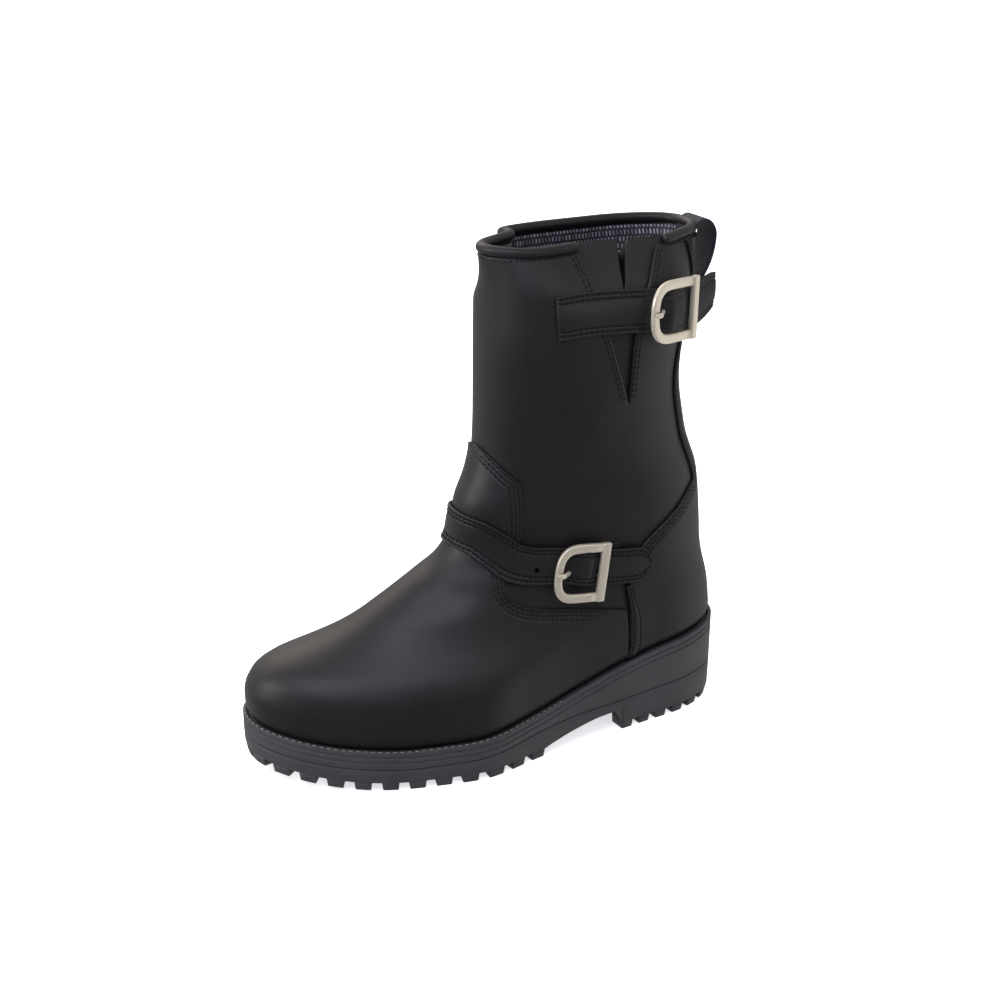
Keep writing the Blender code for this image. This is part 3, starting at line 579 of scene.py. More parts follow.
def overlayPiece(name, rises, lefts, rights, nodes, piece):
    turn = spread(piece["columns"], piece["dense"], piece["span"])
    share = lefts[:, None] + (rights - lefts)[:, None] * turn
    rise = np.repeat(rises[:, None], len(turn), 1)
    flat = onSkin(share, rise)
    depth = np.full(share.shape, 1e9)
    for place in np.concatenate([flat[:, 0], flat[:, -1]]):
        depth = np.minimum(depth, ((flat - place) ** 2).sum(-1))
    depth = np.sqrt(depth)
    height = piece["wall"] * np.sqrt(1 - (1 - np.clip(depth / piece["round"], 0, 1)) ** 2)
    sewn = ease(rise, piece["sewnFrom"] - piece["sewnFade"], piece["sewnFrom"] + piece["sewnFade"])
    for row in piece["rows"]:
        height = height - piece["groove"] * bell(depth - row, piece["grooveWidth"]) * sewn
    sheetPiece(name, onSkin(share, rise, piece["lift"] + height), piece["under"], nodes)


def sewEdge(share, rise, inward, piece):
    for row in piece["rows"]:
        s, r = inset(share, rise, inward, row)
        keep = r > piece["sewnLow"]
        sewOnSkin(s[keep], r[keep], piece["threadUp"])


# Vamp with its tongue
vamp = {**overlay, "up": [-10, 50, 80, 86, 90, 93, 96.5, 101, 107, 116, 131, 140, 156, 169, 176, 187, 197],
        "along": [81, 80, 82, 105, 124, 140, 151.5, 158, 160.5, 159, 150, 148, 148, 148.6, 155, 163.5, 175],
        "columns": 110, "sewnFrom": 40.0, "seamLow": 36.0, "inward": (1.0, 0, -0.3)}
vampRises = np.concatenate([np.linspace(0.6, 22, 14), np.arange(23, 150, 0.8)])
rises, outer, inner = edgeRows(vampRises, curve(vamp["up"], vamp["along"]))
rises = np.append(rises, rises[-1] + 0.4)
lefts = np.append(outer, 0.5)
rights = np.append(1 - inner, 0.5)
overlayPiece("vamp_leather", rises, lefts, rights, ["vamp"], vamp)
seam = rises > vamp["seamLow"]  # below this the heel strip covers the edge
for shares in (lefts, rights):
    sewEdge(shares[seam][:-2], rises[seam][:-2], vamp["inward"], vamp)

# Counter round the heel
counter = {**overlay, "up": [-10, 50, 72, 95, 120, 126, 140, 153, 163, 165],
           "along": [80.4, 79.4, 80, 81, 72, 66, 47, 30, 8, -20],
           "columns": 60, "span": 0.075, "sewnFrom": 52.0, "inward": (-1.0, 0, -0.6)}
counterRises = np.concatenate([np.linspace(0.6, 60, 50), np.arange(61, 118, 0.8)])
rises, outer, inner = edgeRows(counterRises, curve(counter["up"], counter["along"]))
overlayPiece("counter_leather", rises, -inner, outer, ["counter"], counter)
seam = rises > counter["sewnFrom"]
for shares in (-inner, outer):
    sewEdge(shares[seam], rises[seam], counter["inward"], counter)

# Raised strip over the joint of vamp and counter, on both sides
strip = {**overlay, "frontUp": [30, 43, 63, 79, 93, 110], "frontAlong": [83.5, 81.8, 79.0, 80.0, 82.3, 84],
         "backUp": [30, 43, 61.5, 73.3, 86.7, 110], "backAlong": [74.5, 73.0, 70.9, 71.6, 75.6, 82],
         "rows": (1.6,), "lift": 1.2, "high": 50.0, "threadUp": 2.3, "columns": 10, "dense": 10, "span": 0.3}
stripFront = curve(strip["frontUp"], strip["frontAlong"])
stripBack = curve(strip["backUp"], strip["backAlong"])
rises = np.linspace(0.6, strip["high"], 60)
for side, sign in (("outer", 1), ("inner", -1)):
    fronts, backs = (np.array([edgeShares(rise, edge, sign) for rise in rises])
                     for edge in (stripFront, stripBack))
    if sign < 0:
        fronts, backs = 1 - fronts, 1 - backs
    lefts, rights = (backs, fronts) if sign > 0 else (fronts, backs)
    overlayPiece("heel_strip_" + side, rises, lefts, rights, [], strip)
    for shares, inward in ((fronts, -1.0), (backs, 1.0)):
        sewEdge(shares, rises, (inward, 0, 0), strip)

# Backstay up the back of the shaft
backstay = {**overlay, "up": [138, 212, 302], "half": [24, 28, 19], "rises": (101, 250, 120),
            "rows": (1.9, 4.2), "columns": 30, "span": 0.2}
stayHalf = curve(backstay["up"], backstay["half"])
rises = np.linspace(*backstay["rises"])
half = np.linspace(0, 0.3, 400)
rights = np.array([np.interp(stayHalf(rise + boot["legBaseUp"]), onSkin(half, rise)[:, 1], half)
                   for rise in rises])
overlayPiece("backstay_leather", rises, -rights, rights, ["backstay"], backstay)
for shares in (rights, -rights):
    sewEdge(shares, rises, (-1.0, 0, 0), backstay)
print("overlays made")

# Expansion panel behind the notch, with its pleat
panel = {"margin": 9.0, "wall": 1.2, "behind": 2.3, "top": 302.6, "roundLoop": 380.0, "frontPart": 0.43,
         "pleatDepth": 6.5, "pleatHalf": 3.0, "pleatLeast": 0.2, "pleatFoot": 277.0, "pleatSink": 1.1,
         "pleatSteep": 1.3, "pleatPower": 0.8, "rows": (1.6, 3.8)}
edge = panel["margin"] / panel["roundLoop"]
turn = np.linspace(-1, 1, 101)
rows = []
for up in np.linspace(upperPiece["apex"] + 3, panel["top"], 70):
    rise = up - boot["legBaseUp"]
    frontShare, backShare = notchShares(rise)
    middle = frontShare * panel["frontPart"] + backShare * (1 - panel["frontPart"])
    reach = np.where(turn > 0, frontShare + edge - middle, middle - backShare + edge)
    share = middle + np.sign(turn) * np.abs(turn) ** 1.7 * reach
    parted = max((up - panel["pleatFoot"]) / (panel["top"] - panel["pleatFoot"]), 0.0)
    away = np.abs(share - middle) * panel["roundLoop"] / (panel["pleatLeast"] + panel["pleatHalf"] * parted)
    fold = np.clip(panel["pleatSteep"] * (1 - away), 0, 1) ** panel["pleatPower"]
    fold = panel["pleatDepth"] * min(parted * 2, 1) * fold
    sink = panel["pleatSink"] * upWay * fold[:, None]
    rows.append(onSkin(share, rise, -panel["behind"] - fold) - sink)
sheetPiece("expansion_panel", rows, panel["wall"], ["gusset"], merge=False)
rises = np.linspace(apexRise + 4, boot["collarRise"] - 1, 60)
for end, inward in ((0, 1.0), (1, -1.0)):
    shares = np.array([notchShares(rise)[end] for rise in rises])
    for distance in panel["rows"]:
        sewOnSkin(*inset(shares, rises, (inward, 0, 0), distance), 0.1)

# Lining: a leather facing under the collar, then knit down to the insole
facing = {"low": 247.0, "high": 252.0, "inside": 2.8, "knitLow": -2.0, "knitHigh": 250.0, "knitInside": 3.7,
          "columns": 220, "wall": 0.6}
for name, low, high, inside, material, slot in (
    ("collar_facing", facing["low"], facing["high"], facing["inside"], leather, "black_leather"),
    ("knit_lining", facing["knitLow"], facing["knitHigh"], facing["knitInside"], lining, "insole_cloth"),
):
    rises = np.linspace(low, high, max(int((high - low) / 2), 8))
    ends = np.array([notchShares(rise) for rise in rises])
    shares = ends[:, :1] + np.linspace(0, 1, facing["columns"])[None] * (1 + ends[:, 1:] - ends[:, :1])
    points = onSkin(shares, rises[:, None], -inside)
    uvs = np.stack(np.broadcast_arrays(runOf(points[-1])[None, :], rises[:, None]), -1).reshape(-1, 2)
    bm = bmesh.new()
    addGrid(bm, points)
    sheet = addPiece(name, bm, material, uvs=uvs, autoNormals=False)
    thickness = sheet.modifiers.new("thickness", "SOLIDIFY")
    thickness.thickness = facing["wall"] * mm
    thickness.offset = -1.0
print("lining made")

# Collar piping: a roll that ends on both sides of the notch
piping = {"radius": 3.1, "up": 3.0, "inside": 2.0, "ends": (111.5, 57.5), "endRadius": 0.86, "sides": 16,
          "count": 220, "seamDown": 1.4}
ends = [shareAt(boot["collarRise"], along) for along in piping["ends"]]
shares = np.linspace(ends[0], ends[1] + 1, piping["count"])
middle = onSkin(shares, boot["collarRise"], -piping["inside"]) + piping["up"] * upWay
out = unit(normalAt(shares, boot["collarRise"]) * np.array([1, 1, 0]))
turn = np.linspace(0, 2 * np.pi, piping["sides"], endpoint=False)[:, None]
radii = np.full((piping["count"], 1, 1), piping["radius"])
radii[[0, -1]] *= piping["endRadius"]
rings = middle[:, None] + (out[:, None] * np.cos(turn) + upWay * np.sin(turn)) * radii
leatherTube("collar_roll", rings, ["collar_piping"])
shares = shares[3:-3]
sewOnSkin(shares, np.full(len(shares), boot["collarRise"] - piping["seamDown"]), 0.1)

# Straps
strap = {"wall": 1.8, "rows": (2.0, 4.4), "round": 0.9, "groove": 0.45, "grooveWidth": 0.7, "crown": 0.45,
         "crownFrom": 3.0, "topIn": 1.0, "underIn": 2.0, "topSteps": 45, "leastHalf": 2.2, "threadUp": 0.05}


def strapSection(half, wall):  # closed outline across a strap: side in millimetres, height over its underside
    edge = np.linspace(-np.pi / 2, np.pi / 2, 6)
    right = np.stack([half - strap["round"] * (1 - np.cos(edge)), wall / 2 * (1 + np.sin(edge))], -1)
    side = np.linspace(half - strap["topIn"], strap["topIn"] - half, strap["topSteps"])
    depth = half - np.abs(side)
    height = wall + strap["crown"] * ease(depth, strap["crownFrom"], half)
    for row in strap["rows"]:
        height = height - strap["groove"] * bell(depth - row, strap["grooveWidth"])
    left = right[::-1] * np.array([-1, 1])
    under = np.stack([np.linspace(strap["underIn"] - half, half - strap["underIn"], 5), np.zeros(5)], -1)
    return np.concatenate([right, np.stack([side, height], -1), left, under])


def strapRings(shares, rises, halves, lifts, wall):
    stepShare, stepRise = inset(shares, rises, upWay, 1.0)
    halves, lifts = (np.broadcast_to(values, len(shares)) for values in (halves, lifts))
    rings = []
    for k, half in enumerate(halves):
        side, height = strapSection(max(half, strap["leastHalf"]), wall).T
        share = shares[k] + side * (stepShare[k] - shares[k])
        rise = rises[k] + side * (stepRise[k] - rises[k])
        rings.append(onSkin(share, rise, lifts[k] + height))
    return rings


def sewStrap(shares, rises, halves, lifts):
    sides = asideOf(shares, rises, upWay)
    for row in strap["rows"]:
        reach = np.broadcast_to(halves, shares.shape) - row
        keep = reach > 0.6
        for sign in (1, -1):
            s, r = shiftOnSkin(shares[keep], rises[keep], (sides * reach[:, None])[keep] * sign, 1.0)
            sewOnSkin(s, r, (lifts + strap["wall"] + strap["threadUp"])[keep])


def runLength(share, rise):  # millimetres per share at a place
    reach = 0.02
    ends = onSkin(np.array([share - reach, share + reach]), rise)
    return float(np.linalg.norm(ends[1] - ends[0]) / (2 * reach))


def strapPlane(middle, pin, reach):  # place, way and normal of a strap at its pin
    step = reach / runLength(pin, float(middle(pin)))
    ahead, behind = (onSkin(pin + side * step, middle(pin + side * step)) for side in (-1, 1))
    above, below = (onSkin(pin, middle(pin) + side * reach * 0.7) for side in (1, -1))
    way = ahead - behind
    return onSkin(pin, middle(pin)), unit(way), unit(np.cross(way, above - below))


# Buckles: a bowed frame with a straight bar, a pin across it and a prong that bends up over the bow
buckle = {"length": 38.6, "height": 36.0, "band": 5.4, "wall": 3.0, "bend": 15.0, "square": 0.7, "edge": 0.55,
          "lift": 5.2, "pinPlace": 2.0, "pinLift": 4.4, "pinRadius": 1.2, "pinReach": 20.0, "overPin": 0.3,
          "humpEnds": (3.0, 13.0), "barWide": 6.2, "barOver": 0.15, "barWall": 3.5, "barLift": 1.75,
          "barRound": 0.8, "ankleTurn": 6.0, "ankleSlant": 0.06, "ankleDrop": 3.6, "ankleStretch": 0.855,
          "collarBar": 4.6}
prong = {"along": [0.3, -6.5, -10.0, -13.0, -16.0, -18.6], "up": [3.6, 4.2, 6.2, 8.6, 9.5, 9.3],
         "wide": [1.0, 1.5, 1.7, 1.7, 1.5, 1.0], "thick": [1.0, 1.1, 1.1, 1.0, 0.9, 0.6]}


def hump(distance, low):  # how far a strap rises over its pin
    over = buckle["pinLift"] + buckle["pinRadius"] + buckle["overPin"] - low
    return over * (1 - ease(np.abs(distance), *buckle["humpEnds"]))


def squared(values, power):
    return np.sign(values) * np.abs(values) ** power


def addBow(bm, halfLength, halfHeight):
    turn = np.linspace(-np.pi / 2, -3 * np.pi / 2, 33)
    bow = np.stack([-halfLength + buckle["bend"] * (1 + squared(np.cos(turn), buckle["square"])),
                    halfHeight * squared(np.sin(turn), buckle["square"])], -1)
    ends = np.array([(halfLength, halfHeight), (halfLength / 2, halfHeight)])
    path = np.concatenate([ends * np.array([1, -1]), bow, ends[::-1]])
    ways = unit(np.gradient(path, axis=0))
    outs = np.stack([-ways[:, 1], ways[:, 0]], -1)
    turn = np.linspace(0, 2 * np.pi, 20, endpoint=False)
    side = buckle["band"] / 2 * squared(np.cos(turn), buckle["edge"])
    height = buckle["lift"] + buckle["wall"] / 2 * (1 + squared(np.sin(turn), buckle["edge"]))
    rings = [[(*(p + o * a), n) for a, n in zip(side, height)] for p, o in zip(path, outs)]
    addTube(bm, np.array(rings) + origin)


def addBar(bm, halfLength, wide):
    bar = bmesh.ops.create_cube(bm, size=1.0)["verts"]
    tall = buckle["height"] + buckle["barOver"] * 2
    bmesh.ops.scale(bm, vec=(wide * mm, tall * mm, buckle["barWall"] * mm), verts=bar)
    bmesh.ops.translate(bm, vec=(halfLength * mm, 0, (buckle["lift"] + buckle["barLift"]) * mm), verts=bar)
    bevelEdges(bm, {edge for vert in bar for edge in vert.link_edges}, buckle["barRound"], 3)


def buckleFrame(name, centre, way, normal, nodes, turned=0.0, slant=0.0, drop=0.0, stretch=1.0,
                barWide=buckle["barWide"]):
    u = unit(way - normal * np.dot(way, normal))
    u = unit(np.cos(np.radians(turned)) * u + np.sin(np.radians(turned)) * np.cross(normal, u))
    v = np.cross(normal, u)
    v = v if v[2] > 0 else -v
    place = placing(u * stretch, v + u * slant, normal, toWorld(centre - v * drop))
    halfLength = (buckle["length"] - buckle["band"]) / 2
    bm = bmesh.new()
    addBow(bm, halfLength, (buckle["height"] - buckle["band"]) / 2)
    addBar(bm, halfLength, barWide)
    pin = bmesh.ops.create_cone(bm, cap_ends=True, segments=16, radius1=buckle["pinRadius"] * mm,
                                radius2=buckle["pinRadius"] * mm, depth=buckle["pinReach"] * mm)["verts"]
    bmesh.ops.rotate(bm, cent=(0, 0, 0), matrix=Matrix.Rotation(np.pi / 2, 3, "X"), verts=pin)
    bmesh.ops.translate(bm, vec=(buckle["pinPlace"] * mm, drop * mm, buckle["pinLift"] * mm), verts=pin)
    bmesh.ops.transform(bm, matrix=place, verts=bm.verts)
    addPiece(name, bm, nickel, nodes[:1])
    bm = bmesh.new()
    fine = np.linspace(0, 5, 36)
    stations = zip(*(curve(np.arange(6), prong[key])(fine) for key in ("along", "up", "wide", "thick")))
    turn = np.linspace(0, 2 * np.pi, 12, endpoint=False)
    rings = [[(a, w * np.cos(t), n + f * np.sin(t)) for t in turn] for a, n, w, f in stations]
    addTube(bm, np.array(rings) + origin)
    bmesh.ops.transform(bm, matrix=place, verts=bm.verts)
    addPiece(name.replace("frame", "prong"), bm, nickel, nodes[1:])


def strapLifts(piece, middle, shares):  # height of a strap's underside, with its rise over the pin
    away = (shares - piece["pin"]) * runLength(piece["pin"], float(middle(piece["pin"])))
    return piece["lift"] + hump(away, piece["lift"])


# Ankle strap, its chape under the buckle, and its pinholes, drawn as discs of painted shade
ankle = {"shares": [0.80, 0.72, 0.64, 0.57, 0.50, 0.46, 0.43, 0.39, 0.35, 0.31, 0.25, 0.20, 0.145],
         "rises": [62, 70, 79, 88, 93.5, 92.3, 87.6, 80.5, 76.8, 74.8, 70, 65, 61],
         "runs": ((0.80, 0.18, 200), (0.179, 0.1478, 50)), "half": 11.5, "pin": 0.268, "tip": 0.147,
         "tipRound": 0.026, "lift": 2.3, "chape": 0.208, "chapeUp": 1.5, "chapeHalf": 13.0, "chapeLift": 0.4,
         "chapeWall": 1.2, "holes": [(0.343, -2.0), (0.2354, -1.5)], "holeRadius": 1.5, "holeUp": 0.62}
middle = curve(ankle["shares"][::-1], ankle["rises"][::-1])
shares = np.concatenate([np.linspace(*run) for run in ankle["runs"]])
rises = middle(shares)
lifts = strapLifts(ankle, middle, shares)
tipTurn = np.clip((shares - ankle["tip"]) / ankle["tipRound"], 0.02, 1)
halves = ankle["half"] * np.sqrt(1 - (1 - tipTurn) ** 2)
rings = strapRings(shares, rises, halves, lifts, strap["wall"])
leatherTube("ankle_strap_leather", rings, ["ankle_strap"])
keep = shares > ankle["tip"] + 0.005
sewStrap(shares[keep], rises[keep], halves[keep], lifts[keep])
holes = bmesh.new()  # each pinhole is a near-black disc on the strap: painted shade of the hole, with its raw core
for share, aside in ankle["holes"]:
    rise = float(middle(share)) + aside
    lift = strapLifts(ankle, middle, share) + strap["wall"] + ankle["holeUp"]
    turned = Vector(normalAt(share, rise)).to_track_quat("Z", "Y").to_matrix().to_4x4()
    bmesh.ops.create_cone(holes, cap_ends=True, segments=20, radius1=ankle["holeRadius"] * mm,
                          radius2=ankle["holeRadius"] * mm * 0.9, depth=0.14 * mm,
                          matrix=Matrix.Translation(Vector(toWorld(onSkin(share, rise, lift)))) @ turned)
shares = np.linspace(ankle["chape"], ankle["pin"] - 0.01, 40)
rings = strapRings(shares, middle(shares) + ankle["chapeUp"], ankle["chapeHalf"], ankle["chapeLift"],
                   ankle["chapeWall"])
leatherTube("ankle_chape_leather", rings, ["ankle_chape"])
point, way, normal = strapPlane(middle, ankle["pin"], buckle["length"] / 2)
buckleFrame("ankle_buckle_frame_metal", point - way * buckle["pinPlace"], way, normal,
            ["ankle_buckle_frame", "ankle_buckle_prong"], buckle["ankleTurn"], buckle["ankleSlant"],
            buckle["ankleDrop"], buckle["ankleStretch"])

# Collar strap: it follows the shaft to its pin, then its tip stands off behind the buckle
collar = {"shares": [0.353, 0.30, 0.25, 0.20, 0.15], "rises": [219, 220, 219.5, 218.5, 217], "half": 12.0,
          "pin": 0.15, "lift": 0.3, "tipLift": 8.0, "tipRise": (16.0, 44.0), "tipUnder": 2.7,
          "tipSteps": [0, 4, 9, 13, 20, 30, 34, 36.5],
          "tipWidths": [1.06, 1.14, 1.16, 1.14, 1.06, 0.98, 0.9, 0.8],
          "anchorRows": (9.0, 6.4, -6.4, -9.0), "anchorEnd": 0.395, "anchorLength": 2.0, "anchorThick": 0.6}
middle = curve(collar["shares"][::-1], collar["rises"][::-1])
shares = np.linspace(collar["shares"][0], collar["pin"], 120)
rises = middle(shares)
lifts = strapLifts(collar, middle, shares)
rings = strapRings(shares, rises, collar["half"], lifts, strap["wall"])
point, way, normal = strapPlane(middle, collar["pin"], buckle["pinRadius"])
last = rings[-1]
centre = last.mean(0)
fine = np.linspace(0.5, collar["tipSteps"][-1], 50)
for step, width in zip(fine, curve(collar["tipSteps"], collar["tipWidths"])(fine)):
    lifted = way * step + collar["tipLift"] * ease(step, *collar["tipRise"]) * upWay
    sunk = hump(0.0, collar["tipUnder"]) - hump(step, collar["tipUnder"])
    rings.append(centre + (last - centre) * np.array([1, 1, width]) + lifted - normal * sunk)
leatherTube("collar_strap_leather", rings, ["collar_strap"])
seen = slice(2, -30)
sewStrap(shares[seen], rises[seen], collar["half"], lifts[seen])
line = np.linspace(collar["shares"][0] + 0.002, collar["anchorEnd"], 20)
for aside in collar["anchorRows"]:  # rows that hold the strap's fixed end to the shaft
    sewOnSkin(line, np.full(20, rises[0] + aside), -0.1, length=collar["anchorLength"],
              thick=collar["anchorThick"])
buckleFrame("collar_buckle_frame_metal", point - way * buckle["pinPlace"], way, normal,
            ["collar_buckle_frame", "collar_buckle_prong"], barWide=buckle["collarBar"])
addPiece("pinhole_shade_discs", holes, pinhole, [])
print("straps and buckles made")

# Pull loop: flat webbing, bent along a path at the back of the collar
loop = {"width": 20.0, "wall": 1.5, "edgeIn": 2.0,
        "along": [28.5, 26, 22, 16.5, 12.6, 12.8, 15.5, 22.5, 28, 30.6],
        "up": [296, 302.5, 305.2, 303.6, 298, 290, 279, 267.5, 258, 250]}
path = np.stack([loop["along"], loop["up"]], -1)
for _ in range(4):  # corner cutting gives an even bend
    cut = [path[0]]
    for a, b in zip(path, path[1:]):
        cut += [a * 0.75 + b * 0.25, a * 0.25 + b * 0.75]
    path = np.array(cut + [path[-1]])
ways = unit(np.gradient(path, axis=0))
outs = np.stack([ways[:, 1], -ways[:, 0]], -1)
halfWide = loop["width"] / 2
halfWall = loop["wall"] / 2
turn = np.linspace(-np.pi / 2, np.pi / 2, 5)
section = [(halfWide - halfWall * (1 - np.cos(t)), halfWall * np.sin(t)) for t in turn]
section += [(side, halfWall) for side in np.linspace(halfWide - loop["edgeIn"], loop["edgeIn"] - halfWide, 9)]
section += [(-a, -b) for a, b in section]
bm = bmesh.new()
addTube(bm, [[(p[0] + o[0] * b, a, p[1] + o[1] * b) for a, b in section] for p, o in zip(path, outs)])
run = runOf(path)
flatPath = (path - origin[[0, 2]]) * mm
uvs = []
for vert in bm.verts:
    near = np.argmin(np.hypot(flatPath[:, 0] - vert.co.x, flatPath[:, 1] - vert.co.z))
    uvs.append((vert.co.y / mm, run[near]))
addPiece("pull_loop_webbing", bm, webbing, ["pull_loop"], uvs=np.array(uvs))
print("pull loop made")

# Sole
sole = {"reach": 5.6, "inside": -14.0, "lugDepth": 5.0, "lugInset": 0.35, "lugReach": 13.0, "barReach": 19.0,
        "breast": 84.0, "treadBack": 141.0, "forefootLugs": 12, "heelLugs": 7, "lugShare": 0.66,
        "draft": 0.86, "lugRoot": 1.5, "lugRound": 0.5, "heelEnd": 0.0132, "toeEnd": 0.494,
        "archAlong": [84, 100, 120, 136, 142], "archUp": [14.5, 13.5, 10, 6.5, 5.0]}
archUp = curve(sole["archAlong"], sole["archUp"])
soleShares = np.linspace(0, 1, 481)[:-1]


def soleLine(shares, reach):  # along and across of the feather line, moved out by reach
    shares = np.asarray(shares, float)
    x, y = loopPoints(0.0, shares)
    way = unit((loopPoints(0.0, shares + 0.003) - loopPoints(0.0, shares - 0.003)).T)
    return x - way[:, 1] * reach, y + way[:, 0] * reach


edgeX = soleLine(soleShares, sole["reach"])[0]


def soleRing(reach, height):
    x, y = soleLine(soleShares, reach)
    return np.stack([x, y, np.broadcast_to(height, x.shape)], -1)


def addRings(bm, rows):  # a closed tube round the sole
    addTube(bm, np.array([soleRing(reach, up) for reach, up in rows]).transpose(1, 0, 2), closed=True)


def solePiece(name, rows, material, nodes):
    bm = bmesh.new()
    addRings(bm, rows)
    addPiece(name, bm, material, nodes)


# Welt: a strip low in the crease between upper and rim; its rubber is darker than the sole's, its own black
# together with painted shade of the crease
feather = featherUp(edgeX)
weltSection = [(-4.0, -4.2), (2.2, -4.2), (2.5, -3.9), (2.5, -1.7), (2.2, -1.3), (1.2, -1.1), (-4.0, -1.0)]
solePiece("welt_rubber", [(reach, feather + up) for reach, up in weltSection], weltShadeRubber, ["welt"])

# Midsole: its rim stands up to the feather line, two grooves run along its side
rim = {"inner": 2.8, "drop": 0.2, "round": 0.7, "grooves": (3.4, 7.0), "grooveWidth": 0.42,
       "grooveDepth": 0.8, "over": 0.2, "deep": 4.4, "stitchAlong": 128.0, "stitchIn": 1.0, "pitch": 4.2,
       "length": 3.0, "thick": 0.75}
top = feather - rim["drop"]
base = jointUp(edgeX) + rim["over"]
flank = sole["reach"]
rows = [(sole["inside"], base), (flank - 0.6, base), (flank - 0.05, base + 0.5)]
depths = np.concatenate([[0.7, 1.6], np.linspace(2.6, 4.2, 9), [5.4], np.linspace(6.2, 7.8, 9), [8.6]])
for depth in depths[::-1]:  # closer steps at the grooves
    setIn = sum(rim["grooveDepth"] * bell(depth - groove, rim["grooveWidth"]) for groove in rim["grooves"])
    rows.append((flank - setIn, np.maximum(top - depth, base + 0.6 + 0.02 * (9 - depth))))
for turn in np.linspace(0, np.pi / 2, 4)[1:]:
    rows.append((flank - rim["round"] * (1 - np.cos(turn)), top - rim["round"] * (1 - np.sin(turn))))
rows += [(rim["inner"] + 0.4, top), (rim["inner"], top - 0.4)]
rows += [(reach, top - rim["deep"]) for reach in (rim["inner"], sole["inside"])]
solePiece("midsole_rubber", rows, rubber, ["midsole"])
places = soleRing(flank - rim["stitchIn"], top + 0.05)
places = places[places[:, 0] > rim["stitchAlong"]]
sewAlong(places, np.repeat([upWay], len(places), 0), kind="welt", pitch=rim["pitch"],
         length=rim["length"], thick=rim["thick"])


# Outsole: a slab, lugs round its edge and bars down its middle
def railSpans(outer):  # start and stop of each lug at the heel and at the forefoot
    fine = np.linspace(0, 0.5, 600)
    along = soleLine(fine if outer else 1 - fine, sole["reach"])[0]
    breast, back = np.interp([sole["breast"], sole["treadBack"]], along, fine)
    spans = []
    for start, stop, count in ((sole["heelEnd"], breast, sole["heelLugs"]),
                               (back, sole["toeEnd"], sole["forefootLugs"])):
        step = (stop - start) / (count - 1 + sole["lugShare"])
        spans.append([(start + k * step, start + (k + sole["lugShare"]) * step) for k in range(count)])
    return spans


def rootUp(x):
    ahead = ease(x, sole["breast"] - 0.4, sole["breast"] + 0.4)
    waist = ahead * (1 - ease(x, sole["treadBack"] - 2, sole["treadBack"] + 2))
    return archUp(x) * waist + (sole["lugDepth"] + springUp(x)) * (1 - waist)


def addLug(bm, corners):  # corners at the root, round the lug, in along and across
    middle = corners.mean(0)
    foot = middle + (corners - middle) * sole["draft"]
    rings = np.array([np.column_stack([corners, rootUp(corners[:, 0]) + sole["lugRoot"]]),
                      np.column_stack([foot, springUp(foot[:, 0])])])
    before = set(bm.verts)
    start = addGrid(bm, np.concatenate([rings, rings[:, :1]], axis=1))
    bmesh.ops.remove_doubles(bm, verts=start, dist=1e-6)
    made = [vert for vert in bm.verts if vert not in before]
    loose = list({edge for vert in made for edge in vert.link_edges if edge.is_boundary})
    bmesh.ops.holes_fill(bm, edges=loose, sides=0)
    low = min(vert.co.z for vert in made) + 2.5 * mm
    edges = {edge for vert in made for edge in vert.link_edges
             if min(end.co.z for end in edge.verts) < low and not edge.is_boundary}
    bevelEdges(bm, edges, sole["lugRound"], 2)


def edgeLug(bm, start, stop):
    line = np.linspace(start, stop, 4)
    rail, inner = (np.column_stack(soleLine(line, sole["reach"] - sole[depth]))
                   for depth in ("lugInset", "lugReach"))
    addLug(bm, np.concatenate([rail, inner[::-1]]))


bm = bmesh.new()
joint = jointUp(edgeX)
root = rootUp(edgeX)
innerRoot = rootUp(soleLine(soleShares, sole["inside"])[0])
addRings(bm, [(sole["inside"], joint), (flank - 0.5, joint), (flank, joint - 0.5), (flank - 0.3, root + 0.5),
              (flank - 0.9, root), (sole["inside"], innerRoot)])
outerSpans = railSpans(True)
innerSpans = railSpans(False)
for start, stop in sum(outerSpans, []):
    edgeLug(bm, start, stop)
for start, stop in sum(innerSpans, []):
    edgeLug(bm, 1 - start, 1 - stop)
edgeLug(bm, 1 - sole["heelEnd"], 1 + sole["heelEnd"])
edgeLug(bm, sole["toeEnd"], 1 - sole["toeEnd"])
for outerPart, innerPart in zip(outerSpans, innerSpans):
    for (a, b), (c, d) in list(zip(outerPart, innerPart))[::2]:  # a bar from every other lug
        ends = soleLine(np.array([a, b, 1 - d, 1 - c]), sole["reach"] - sole["barReach"])
        addLug(bm, np.column_stack(ends))
addPiece("outsole_rubber", bm, rubber, ["outsole"])

# Insole: a thin cloth-covered board with its edges turned up
insole = {"inset": 3.0, "wall": 2.8, "sink": 1.2, "cup": 1.5}
shares = np.linspace(0, 0.5, 120)
outerLine, innerLine = (np.column_stack(soleLine(line, -insole["inset"])) for line in (shares, 1 - shares))
across = np.linspace(0, 1, 24)
points = outerLine[:, None] * (1 - across)[:, None] + innerLine[:, None] * across[:, None]
heights = featherUp(points[..., 0]) - insole["sink"] + insole["cup"] * (2 * across - 1) ** 4
bm = bmesh.new()
made = addGrid(bm, np.concatenate([points, heights[..., None]], -1))
bmesh.ops.remove_doubles(bm, verts=made, dist=1e-6)
bmesh.ops.recalc_face_normals(bm, faces=bm.faces)
bmesh.ops.solidify(bm, geom=bm.faces[:], thickness=insole["wall"] * mm)
uvs = np.array([(vert.co.x / mm, vert.co.y / mm) for vert in bm.verts])
addPiece("insole_cloth", bm, lining, ["insole"], uvs=uvs)
print("sole made")


